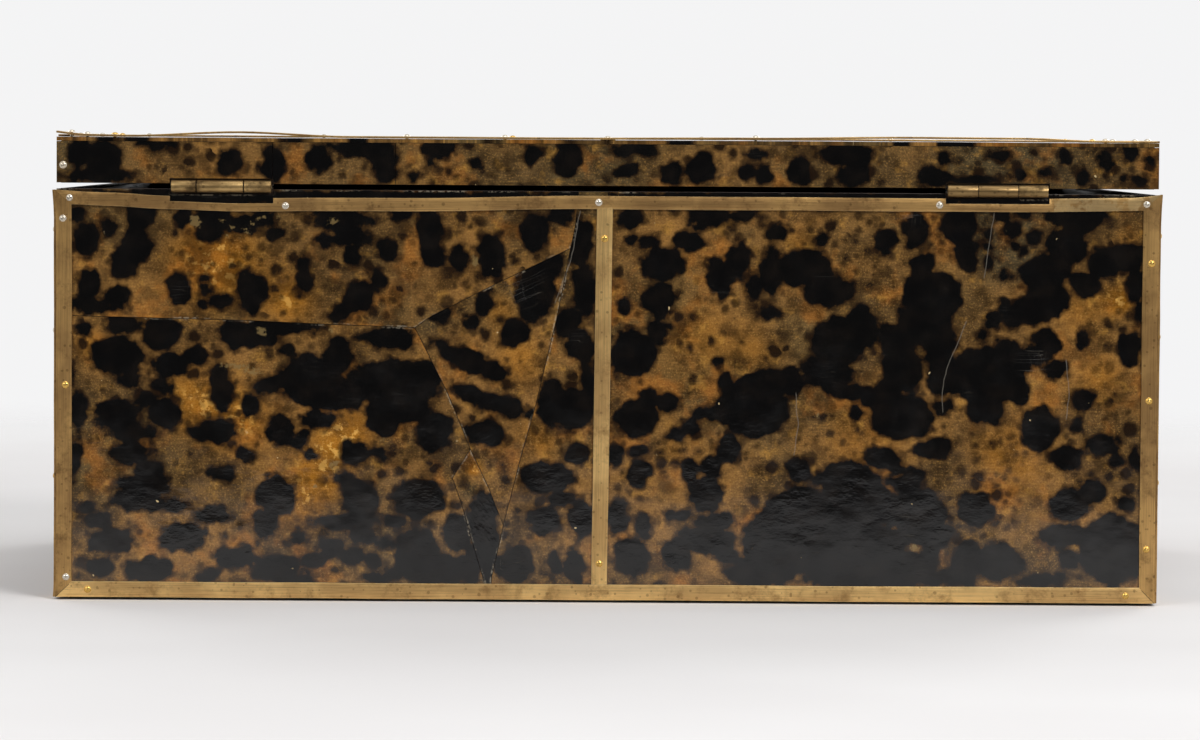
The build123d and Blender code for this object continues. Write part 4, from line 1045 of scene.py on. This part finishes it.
# %% Values for the shell
FAR = -60.0
MERGE = 1.6
CLUSTER_AREA = 1500.0
CLUSTER_COUNTS = (2, 6)
CLUSTER_LENGTH, CLUSTER_WIDTH = 9, 4
CLUSTER_SIZES, CLUSTER_STRETCH, CLUSTER_LEAN = (6, 15), (0.8, 1.5), (-40, 40)
SINGLE_AREA = 420.0
SINGLE_SIZES, SINGLE_STRETCH, SINGLE_LEAN = (2.5, 7), (0.9, 1.6), (-60, 60)
SHOVES = ((1.3, 0.12), (0.8, 0.3))
CRACK_SHOVE = 0.4
PLATE_SHIFT = 97.0
MARKS = ("blots", "holes", "chips", "seams", "cracks", "warm")
NOISE_SEED = 4
noise.seed_set(NOISE_SEED)


def photo_blots(ellipses):
    """Ellipses given in photo pixels, as (a, b, width, height, turn) in mm on the back face."""
    made = []
    for px, py, w, h, *lean in ellipses:
        made.append((*from_photo(px, py), w * photo_mm, h * photo_mm, -lean[0] if lean else 0.0))
    return made


def random_blots(outline, seed):
    """Clusters of large blotches and single small ones, spread over an outline."""
    rng = random.Random(seed)
    a, b = [p[0] for p in outline], [p[1] for p in outline]
    low, high = (min(a), min(b)), (max(a), max(b))
    area = (high[0] - low[0]) * (high[1] - low[1])
    made = []
    for _ in range(round(area / CLUSTER_AREA)):
        heart = [rng.uniform(low[i], high[i]) for i in range(2)]
        drift = rng.uniform(0, math.pi)
        for _ in range(rng.randint(*CLUSTER_COUNTS)):
            run, off = rng.gauss(0, CLUSTER_LENGTH), rng.gauss(0, CLUSTER_WIDTH)
            place = (heart[0] + run * math.cos(drift) - off * math.sin(drift),
                     heart[1] + run * math.sin(drift) + off * math.cos(drift))
            size = rng.uniform(*CLUSTER_SIZES)
            width = size * rng.uniform(*CLUSTER_STRETCH)
            made.append((*place, width, size, rng.uniform(*CLUSTER_LEAN)))
    for _ in range(round(area / SINGLE_AREA)):
        size = rng.uniform(*SINGLE_SIZES)
        place = [rng.uniform(low[i], high[i]) for i in range(2)]
        width = size * rng.uniform(*SINGLE_STRETCH)
        made.append((*place, width, size, rng.uniform(*SINGLE_LEAN)))
    return made


def blot_depth(a, b, ellipses, holes=()):
    """How deep each point lies inside a blotch, in mm, below zero outside."""
    depth = np.full(len(a), FAR)
    for group, sign in ((ellipses, 1), (holes, -1)):
        for ca, cb, w, h, lean in group:
            c, s = math.cos(math.radians(lean)), math.sin(math.radians(lean))
            u = ((a - ca) * c + (b - cb) * s) / (w / 2)
            v = ((b - cb) * c - (a - ca) * s) / (h / 2)
            one = (1 - np.sqrt(u * u + v * v)) * min(w, h) / 2
            if sign > 0:
                near = np.maximum(MERGE - np.abs(depth - one), 0) / MERGE
                depth = np.maximum(depth, one) + near * near * MERGE / 4
            else:
                depth = np.minimum(depth, -one)
    return depth


def from_segment(a, b, start, end):
    """Each point's distance from a segment, and from the line through it with a sign for the side."""
    a, b = a - start[0], b - start[1]
    da, db = end[0] - start[0], end[1] - start[1]
    share = np.clip((a * da + b * db) / (da * da + db * db), 0, 1)
    return np.hypot(a - share * da, b - share * db), (a * db - b * da) / math.hypot(da, db)


def rim_gap(a, b, outlines):
    """How far each point lies from its plate's outline, in mm."""
    nearest = np.full(len(a), -FAR)
    for outline in outlines:
        for start, end in zip(outline, outline[1:] + outline[:1]):
            nearest = np.minimum(nearest, from_segment(a, b, start, end)[0])
    return nearest


def crack_values(a, b, lines):
    """The side and distance of each point from the nearest crack's line, and its distance from the crack."""
    side, gap = np.full(len(a), -FAR), np.full(len(a), -FAR)
    for line in lines:
        for start, end in zip(line, line[1:]):
            here, across = from_segment(a, b, start, end)
            side = np.where(here < gap, across, side)
            gap = np.minimum(gap, here)
    return side, gap


def paint_plate(piece, sides, marks, base_warmth, fibre_turn, seed):
    """Stores the shell's values on a plate."""
    data = piece.data
    count = len(data.vertices)
    co = np.zeros(count * 3)
    data.vertices.foreach_get("co", co)
    co = co.reshape(-1, 3) / MM
    a, b = co[:, sides[0]], co[:, sides[1]]
    shove = np.zeros((count, 2))
    for reach, grain in SHOVES:
        for i in range(count):
            push = noise.noise_vector(Vector((a[i] * grain, b[i] * grain, seed + reach)))
            shove[i] += (push[0] * reach, push[1] * reach)
    pushed = (a + shove[:, 0], b + shove[:, 1])
    depth = blot_depth(*pushed, marks["blots"], marks["holes"])
    chip = blot_depth(*pushed, marks["chips"])
    side, gap = crack_values(a + shove[:, 0] * CRACK_SHOVE, b, marks["cracks"])
    warmth = np.full(count, base_warmth)
    for wa, wb, reach, amount in marks["warm"]:
        warmth += amount * np.exp(-((a - wa) ** 2 + (b - wb) ** 2) / (2 * (reach / 2) ** 2))
    c, s = math.cos(math.radians(fibre_turn)), math.sin(math.radians(fibre_turn))
    lay = np.stack([a * c + b * s, b * c - a * s, np.full(count, seed * PLATE_SHIFT)], 1) * MM
    single = {"blot": depth, "warm": warmth, "chip": chip, "rim": rim_gap(a, b, marks["seams"]),
              "crack": side, "crack_gap": gap}
    for name, values in single.items():
        layer = data.attributes.new(name, "FLOAT", "POINT")
        layer.data.foreach_set("value", values.astype(np.float32))
    data.attributes["lay"].data.foreach_set("vector", lay.astype(np.float32).ravel())


def photo_marks(outlines, blots, seams_scuffed_and_lit):
    """The marks read from the photograph, with only the blotches whose centre lies on these plates."""
    made = photo_blots(blots)
    centres = [np.array(values) for values in zip(*(e[:2] for e in made))]
    mine = sum(is_inside(outline, *centres) for outline in outlines) > 0
    return {
        "blots": [e for e, here in zip(made, mine) if here],
        "holes": photo_blots(clear_patches),
        "chips": photo_blots(pale_chips),
        "seams": outlines if seams_scuffed_and_lit else [],
        "cracks": [[from_photo(*p) for p in line] for line in cracks],
        "warm": [(*from_photo(px, py), reach * photo_mm, value) for px, py, reach, value in warm_patches],
    }


def make_plates(node, axis, out, seed, step, fibre_turn=0.0, blots=None, seams_scuffed_and_lit=False, warmth=0.0,
                label=""):
    """The dense plates that stand for one CAD node."""
    low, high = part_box(node)
    level = high[axis] if out > 0 else low[axis]
    sides = [i for i in range(3) if i != axis]
    source = cad_copy(node)
    outlines = [drop_straight(longest_loop(g, sides)) for g in face_groups(source, axis, level)]
    source.free()
    outlines = sorted(o for o in outlines if area_of(o) > SMALLEST_PLATE)
    whole = bmesh.new()
    whole.verts.layers.float_vector.new("lay")
    for outline in outlines:
        join_in(whole, grid_plate(shrink(outline, SEAM_GAP), axis, level, out, step))
    piece = finish_piece(node + label + "_finished", whole, SHELL, [node])
    if blots is None:
        marks = dict.fromkeys(MARKS, ())
        marks["blots"] = random_blots([p for o in outlines for p in o], seed)
    else:
        marks = photo_marks(outlines, blots, seams_scuffed_and_lit)
    paint_plate(piece, sides, marks, warmth, fibre_turn, seed)
    print(piece.name, len(outlines), "plates,", len(marks["blots"]), "blotches,",
          len(piece.data.polygons), "faces")
    return piece

# %% [markdown]
# The back is made of six plates and the lid's edge of three. The fibres lie nearly along the box, except
# on the wedge and on the small mend, which were cut from other shell and set in at an angle.

# %% Plates of the box
FINE_STEP, PLAIN_STEP, COARSE_STEP = 0.9, 1.3, 1.5
FIRST_BACK_SEED, LID_SEED, FIRST_UNSEEN_SEED = 3.1, 11.3, 21
LID_WARMTH = -0.34
fibre_turns = {
    "right": 0.0, "upper_left": 1.5, "lower_left": -1.0, "wedge": 24.0, "mend": -62.0, "centre": 3.0,
}
back_blots = (upper_left_blots + lower_left_blots + wedge_and_centre_blots
              + right_upper_blots + right_lower_blots)
for count, (part, angle) in enumerate(fibre_turns.items()):
    seed = FIRST_BACK_SEED + count
    make_plates("shell_back_" + part, 1, -1, seed, FINE_STEP, angle, back_blots, seams_scuffed_and_lit=True)
make_plates("shell_lid_back", 1, -1, LID_SEED, FINE_STEP, 0.0, lid_back_blots, warmth=LID_WARMTH)

# node, axis and direction of the outer face, grid step in mm, and what is added to the piece's name
unseen_sides = [
    ("shell_front_left", 1, 1, PLAIN_STEP, ""),
    ("shell_front_right", 1, 1, PLAIN_STEP, ""),
    ("shell_left_end", 0, -1, PLAIN_STEP, ""),
    ("shell_right_end", 0, 1, PLAIN_STEP, ""),
    ("shell_lid_top", 2, 1, COARSE_STEP, ""),
    ("shell_lid_sides", 1, 1, PLAIN_STEP, "_front"),
    ("shell_lid_sides", 0, -1, PLAIN_STEP, "_left"),
    ("shell_lid_sides", 0, 1, PLAIN_STEP, "_right"),
]
for seed, (node, axis, out, step, label) in enumerate(unseen_sides, FIRST_UNSEEN_SEED):
    make_plates(node, axis, out, seed, step, label=label)

# %% [markdown]
# Each strip is a ribbon of thin brass. On the back they are worked copies of the CAD nodes, sliced so
# that they can follow the dents and the sag that the photograph shows. Those on the front, the ends and
# the lid share a node, so they are made here from their four corners, with the mitres left open.

# %% Strip shapes
SLICE = 5.0
STRIP_BEVEL, RIBBON_BEVEL = 0.18, 0.14
DENT_WAVES = ((45.0, 0.5), (140.0, 0.3))
SIDEWAYS = 0.16
SIDEWAYS_SCALE = 30.0
SIDEWAYS_SHIFTS = (3.1, 7.7, 12.9)
# x and drop in mm
top_sag = [(-209.5, 0.0), (-168, -1.7), (-140, -2.4), (-78, -1.9), (0, -0.7), (150, -0.9), (209.5, -0.1)]
# place, reach and shift in mm
bends = [
    ((-209.5, -134.9, 155.8), 5.0, (-0.6, -0.5, 0.5)), ((209.9, -134.5, 155.8), 5.0, (0.5, -0.3, 1.1)),
    ((-209.5, -134.9, 1.0), 4.0, (-0.3, -0.3, 0.0)), ((-183.0, -134.9, 155.0), 9.0, (0.0, -0.2, 0.5)),
]


def along_table(table, x):
    """A smooth value between the entries of a short table."""
    for (a, low), (b, high) in zip(table, table[1:]):
        if x <= b:
            share = min(1.0, max(0.0, (x - a) / (b - a)))
            return low + (high - low) * share * share * (3 - 2 * share)
    return table[-1][1]


def bent(co):
    """Small bends at the strips' damaged corners."""
    moved = co.copy()
    for place, reach, shift in bends:
        gap = (co / MM - Vector(place)).length
        moved += Vector(shift) * MM * math.exp(-(gap / reach) ** 2)
    moved.x = min(max(moved.x, cad_low.x), cad_high.x)
    return moved


def waved(co, out, amount=0.22):
    """Slight dents and waves, always outwards from the plate below."""
    lift = sum((share * noise.noise(co * scale) for scale, share in DENT_WAVES), 0.5)
    drift = Vector([noise.noise(co * SIDEWAYS_SCALE + Vector((shift, 0, 0))) for shift in SIDEWAYS_SHIFTS])
    side = drift - out * drift.dot(out)
    return co + out * max(0.0, lift) * amount * MM + side * SIDEWAYS * MM


def back_strip(co):
    return bent(waved(co, Vector((0, -1, 0)), 0.3))


def back_top_strip(co):
    return back_strip(co) + Vector((0, 0, along_table(top_sag, co.x / MM) * MM))


# Right of this place the top strip lies outside the shade of the lid's edge; its flat faces there are marked
# for pale patches, painted light.
LIT_STRIP_START = from_photo(1053, 206)[0]
PAINTED_LIGHT = 0.6
back_brass = {"bottom": BRIGHT_BRASS, "left": STRIP_BRASS, "right": STRIP_BRASS, "centre": BRIGHT_BRASS}
for part, brass in back_brass.items():
    axis = 0 if part == "bottom" else 2
    refine("strip_back_" + part, brass, STRIP_BEVEL, step=SLICE, axis=axis, shape=back_strip)
top_strip = refine("strip_back_top", STRIP_BRASS, STRIP_BEVEL, step=SLICE, shape=back_top_strip).data
for face, worn in zip(top_strip.polygons, top_strip.attributes["worn"].data):
    if face.center.x / MM > LIT_STRIP_START and worn.value == 0.0:
        worn.value = PAINTED_LIGHT

# %% Strips of the front, the ends and the lid
MITRE_GAP = 0.05 * MM
half_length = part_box("shell_back_right")[1].x
half_depth = -back_y
strip_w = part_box("strip_back_left")[1].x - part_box("strip_back_left")[0].x
strip_t = back_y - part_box("strip_back_left")[0].y
strip_low, strip_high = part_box("strip_back_bottom")[0].z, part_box("strip_back_top")[1].z
top_w = strip_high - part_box("strip_back_top")[0].z
lid_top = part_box("shell_lid_top")[1].z


def rectangle(low_a, high_a, low_b, high_b):
    """Four corners, anticlockwise."""
    return [(low_a, low_b), (high_a, low_b), (high_a, high_b), (low_a, high_b)]


def mitred_frame(low_a, high_a, low_b, high_b):
    """Four outlines with mitred corners round a face of the case."""
    outer = rectangle(low_a, high_a, low_b, high_b)
    inner = rectangle(low_a + strip_w, high_a - strip_w, low_b + strip_w, high_b - top_w)
    return [[outer[i], outer[i - 3], inner[i - 3], inner[i]] for i in range(4)]


def ribbon(outline, axis, level, out, shape, gap=MITRE_GAP):
    """One strip as a bmesh: its outline on a plane, thickened, sliced along its length and bevelled."""
    sides = [i for i in range(3) if i != axis]
    middle = [sum(p[i] for p in outline) / 4 for i in range(2)]
    spans = [max(p[i] for p in outline) - min(p[i] for p in outline) for i in range(2)]
    mesh = bmesh.new()
    corners = []
    for p in outline:
        a, b = (value + math.copysign(gap, centre - value) for value, centre in zip(p, middle))
        corners.append(mesh.verts.new(in_space(axis, a, b, level)))
    face = mesh.faces.new(corners)
    made = bmesh.ops.extrude_face_region(mesh, geom=[face])["geom"]
    for vert in (g for g in made if isinstance(g, bmesh.types.BMVert)):
        vert.co[axis] += out * strip_t
    bmesh.ops.recalc_face_normals(mesh, faces=mesh.faces)
    slice_across(mesh, sides[0] if spans[0] > spans[1] else sides[1], SLICE * MM)
    soften_edges(mesh, RIBBON_BEVEL * MM, 1.0 * MM)
    for vert in mesh.verts:
        vert.co = shape(vert.co)
    return mesh


def strip_set(node, ribbons):
    """All the strips of one CAD node as one piece."""
    whole = bmesh.new()
    whole.faces.layers.float.new("worn")
    for mesh in ribbons:
        join_in(whole, mesh)
    piece = finish_piece(node + "_finished", whole, STRIP_BRASS, [node])
    print(piece.name, len(ribbons), "strips")
    return piece


half_w = strip_w / 2
front = mitred_frame(-half_length, half_length, strip_low, strip_high)
front.append(rectangle(-half_w, half_w, strip_low + strip_w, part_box("escutcheon")[0].z))
ends = mitred_frame(-half_depth, half_depth, strip_low, strip_high)
strip_set("strips_front", [
    ribbon(o, 1, half_depth, 1, lambda co: waved(co, Vector((0, 1, 0)))) for o in front])
strip_set("strips_ends", [
    ribbon(o, 0, side * half_length, side, lambda co, s=side: bent(waved(co, Vector((s, 0, 0)))))
    for side in (-1, 1) for o in ends])

# %% [markdown]
# The strip along the lid's rear edge has sprung up in long bows between its pins, with daylight under
# it. It is sliced finely and lifted by the same table of heights as the CAD solid.

# %% Lid strips
# share of the half length, and lift in mm
lid_strip_lift = [
    (-1.0, 1.5), (-0.955, 0.4), (-0.87, 0.1), (-0.67, 1.7), (-0.47, 0.15), (-0.1, 0.1),
    (0.27, 0.5), (0.55, 1.2), (0.75, 1.1), (0.9, 0.1), (1.0, 0.1),
]


def sprung(co):
    """The rear strip's bows, as a share of the half length and a height in mm."""
    return co + Vector((0, 0, along_table(lid_strip_lift, co.x / half_length) * MM))


def on_lid(co):
    return waved(co, Vector((0, 0, 1)), 0.2)


inner_x, inner_y = half_length - strip_w, half_depth - strip_w
lid_front = [(-half_length, half_depth), (half_length, half_depth), (inner_x, inner_y), (-inner_x, inner_y)]
lid_left = [(-half_length, half_depth), (-inner_x, inner_y), (-inner_x, -inner_y), (-half_length, -inner_y)]
lid_right = [(-a, b) for a, b in lid_left]
lid_centre = rectangle(-half_w, half_w, -inner_y, inner_y)
lid_rear = rectangle(-half_length, half_length, -half_depth, -inner_y)
flat_strips = [ribbon(o, 2, lid_top, 1, on_lid) for o in (lid_front, lid_left, lid_right, lid_centre)]
strip_set("strips_lid", flat_strips + [ribbon(lid_rear, 2, lid_top, 1, sprung, 0.0)])

# %% [markdown]
# The pins are domed heads on short shanks. They are copies of the CAD solids; each head is told whether
# it still looks like yellow brass or has worn to a silvery white, and those in the sagging top strip
# move down with it.

# %% Pins
yellow_pins = [
    (65.3, 383.5), (87.4, 588), (1129, 593), (1152, 260), (1149.5, 397), (1148.7, 545), (604, 237),
    (599, 560.6),
]
YELLOW_SHARE = 0.35
SILVERY = 0.1
SAME_PIN = 6.0
BEHIND_BACK = 4.0


def make_pins(node, seed):
    """The pins of one CAD node, each with its own shade."""
    mesh = cad_copy(node)
    yellow = mesh.verts.layers.float.new("yellow")
    rng = random.Random(seed)
    write_lay(mesh)
    for solid in islands(mesh):
        middle = sum((v.co for v in solid), Vector()) / len(solid)
        shade = 1.0 if rng.random() < YELLOW_SHARE else rng.uniform(0.0, 0.25)
        drop = Vector((0, 0, 0))
        if node == "pins_case" and middle.y < back_y + BEHIND_BACK * MM and abs(middle.x) < half_length:
            places = [Vector(from_photo(*p)) for p in yellow_pins]
            here = Vector((middle.x, middle.z)) / MM
            shade = 1.0 if min((here - p).length for p in places) < SAME_PIN else SILVERY
            if middle.z > strip_high - top_w:
                drop.z = along_table(top_sag, middle.x / MM) * MM
        for vert in solid:
            vert[yellow] = shade
            vert.co += drop
    return finish_piece(node + "_finished", mesh, PINS, [node])


make_pins("pins_case", 5)
make_pins("pins_lid", 6)

# %% [markdown]
# The rest of the box keeps its CAD shapes: worked copies with small bevels, each in its own finish.

# %% Fittings, boards and the inside
# material, width of the bevels in mm, and nodes
FITTINGS = [
    (LOCK_BRASS, 0.2, ["lock_case", "lock_cap", "escutcheon", "link_plate", "screws_case", "screws_lid",
                       "ink_caps", "till_cover_knob"]),
    (STEEL, 0.15, ["hinge_pins", "lock_bolt", "key"]),
    (CASE_WOOD, 0.35, ["bottom_board", "front_board", "back_board", "left_board", "right_board", "lid_board",
                       "lid_rail_front", "lid_rail_back", "lid_rails_ends"]),
    (TILL_WOOD, 0.35, ["till_wall", "till_floor", "till_partition", "till_divider", "ink_block", "pen_rest",
                       "till_cover"]),
    (BOARD_WOOD, 0.8, ["writing_board"]),
    (LEATHER, 0.3, ["writing_leather"]),
    (PAPER, 0.1, ["lid_lining"]),
    (CLOTH, 0.3, ["base_cloth"]),
    (GLASS, 0.5, ["ink_bottle_left", "ink_bottle_right"]),
]
KNUCKLE_EDGE = 0.25
for material, width, names in FITTINGS:
    for name in names:
        refine(name, material, width)
# All bevel faces of the hinge leaves are marked for painted shade, which draws dark lines at the knuckle
# joints.
for name in ("hinge_leaf_case_left", "hinge_leaf_case_right", "hinge_leaf_lid_left", "hinge_leaf_lid_right"):
    refine(name, HINGE_BRASS, 0.3, KNUCKLE_EDGE, mark=PAINTED_SHADE)

# %% [markdown]
# The studio is a pale paper floor under a pale backdrop. The floor fades into the backdrop's colour with
# distance, so no horizon shows. In mirrored rays it fades nearer, and the room behind the lens is nearly
# dark, which is what makes the black parts of the polished plates deep.

# %% Floor and backdrop
FLOOR_REACH = 4.0
FADE_SEEN = (0.62, 1.25)
FADE_MIRRORED = (0.36, 0.8)
BACKDROP = (0.905, 0.905, 0.91, 1.0)
PAPER_TONES = ((0.80, 0.785, 0.785, 1.0), (0.86, 0.85, 0.85, 1.0))
ROOM_LIGHT = (1.0, 0.99, 0.98, 1.0)
LENS_SIDE = (-0.75, -0.2)
CEILING = (0.02, 0.5)
ROOM_SHARE = 0.055
ROOM_STRENGTH = (0.015, 0.36)


def make_floor():
    """The paper floor, whose fade starts nearer for mirrored rays."""
    mesh = bmesh.new()
    bmesh.ops.create_grid(mesh, x_segments=2, y_segments=2, size=FLOOR_REACH)
    data = bpy.data.meshes.new("floor")
    mesh.to_mesh(data)
    mesh.free()
    floor = new_object("floor", data)
    material, tree, surface = new_material("paper floor", Roughness=0.85)
    place = add(tree, "ShaderNodeTexCoord").outputs["Object"]
    tone = ramp(tree, cloud(tree, place, 3.0, 3.0), 0.3, 0.7)
    feed(tree, surface, Base_Color=blend_colour(tree, tone, *PAPER_TONES))
    reach = add(tree, "ShaderNodeVectorMath", {0: place}, operation="LENGTH").outputs["Value"]
    see_through = add(tree, "ShaderNodeBsdfTransparent").outputs[0]
    glossy = add(tree, "ShaderNodeLightPath").outputs["Is Glossy Ray"]
    starts, ends = (ramp(tree, glossy, 0.0, 1.0, *pair) for pair in zip(FADE_SEEN, FADE_MIRRORED))
    fade = ramp(tree, reach, starts, ends)
    mixed = add(tree, "ShaderNodeMixShader", {0: fade, 1: surface.outputs[0], 2: see_through})
    tree.links.new(mixed.outputs[0], tree.nodes["Material Output"].inputs[0])
    data.materials.append(material)


def make_world():
    """The pale backdrop for the lens, and the room that lights and is mirrored."""
    world = bpy.data.worlds.new("studio")
    bpy.context.scene.world = world
    world.use_nodes = True
    tree = world.node_tree
    direction = add(tree, "ShaderNodeTexCoord").outputs["Generated"]
    parts = add(tree, "ShaderNodeSeparateXYZ", {0: direction})
    front = ramp(tree, parts.outputs[1], *LENS_SIDE, ROOM_SHARE, 1.0)
    high = ramp(tree, parts.outputs[2], *CEILING)
    light = calc(tree, "MAXIMUM", front, high)
    strength = ramp(tree, light, 0.0, 1.0, *ROOM_STRENGTH)
    room = add(tree, "ShaderNodeBackground", {"Color": ROOM_LIGHT, "Strength": strength})
    pale = add(tree, "ShaderNodeBackground", {"Color": BACKDROP, "Strength": 1.0})
    path = add(tree, "ShaderNodeLightPath").outputs
    mirrored = calc(tree, "MAXIMUM", path["Is Glossy Ray"], path["Is Transmission Ray"])
    seen = calc(tree, "MAXIMUM", path["Is Camera Ray"], calc(tree, "MULTIPLY", mirrored, front))
    mixed = add(tree, "ShaderNodeMixShader", {0: seen, 1: room.outputs[0], 2: pale.outputs[0]})
    tree.links.new(mixed.outputs[0], tree.nodes["World Output"].inputs[0])


make_floor()
make_world()

# %% [markdown]
# One large soft light stands high in front on the right. It is well above the line that the plates
# mirror towards the lens, so it brightens them without a glare. A weaker one fills from the left, one
# hangs overhead for the lid, and two light the lock side for the views from behind.

# %% Lamps
LAMP_AIM = Vector((0, 0, 0.08))


def lamp(name, place, size, power):
    """A square lamp aimed at the box, with its place and size in metres and its power in watts."""
    light = bpy.data.lights.new(name, "AREA")
    light.shape = "SQUARE"
    light.size = size
    light.energy = power
    made = new_object(name, light)
    aim = LAMP_AIM - Vector(place)
    made.matrix_world = Matrix.Translation(place) @ aim.to_track_quat("-Z", "Y").to_matrix().to_4x4()


lamp("key", (1.1, -1.7, 1.5), 0.9, 29)
lamp("fill", (-1.3, -1.5, 1.1), 0.9, 9)
lamp("top", (0.1, -0.1, 1.9), 1.0, 6)
lamp("rear right", (1.2, 1.6, 1.3), 0.9, 12)
lamp("rear left", (-1.3, 1.5, 1.2), 0.9, 8)

bpy.context.scene.view_settings.view_transform = "Standard"
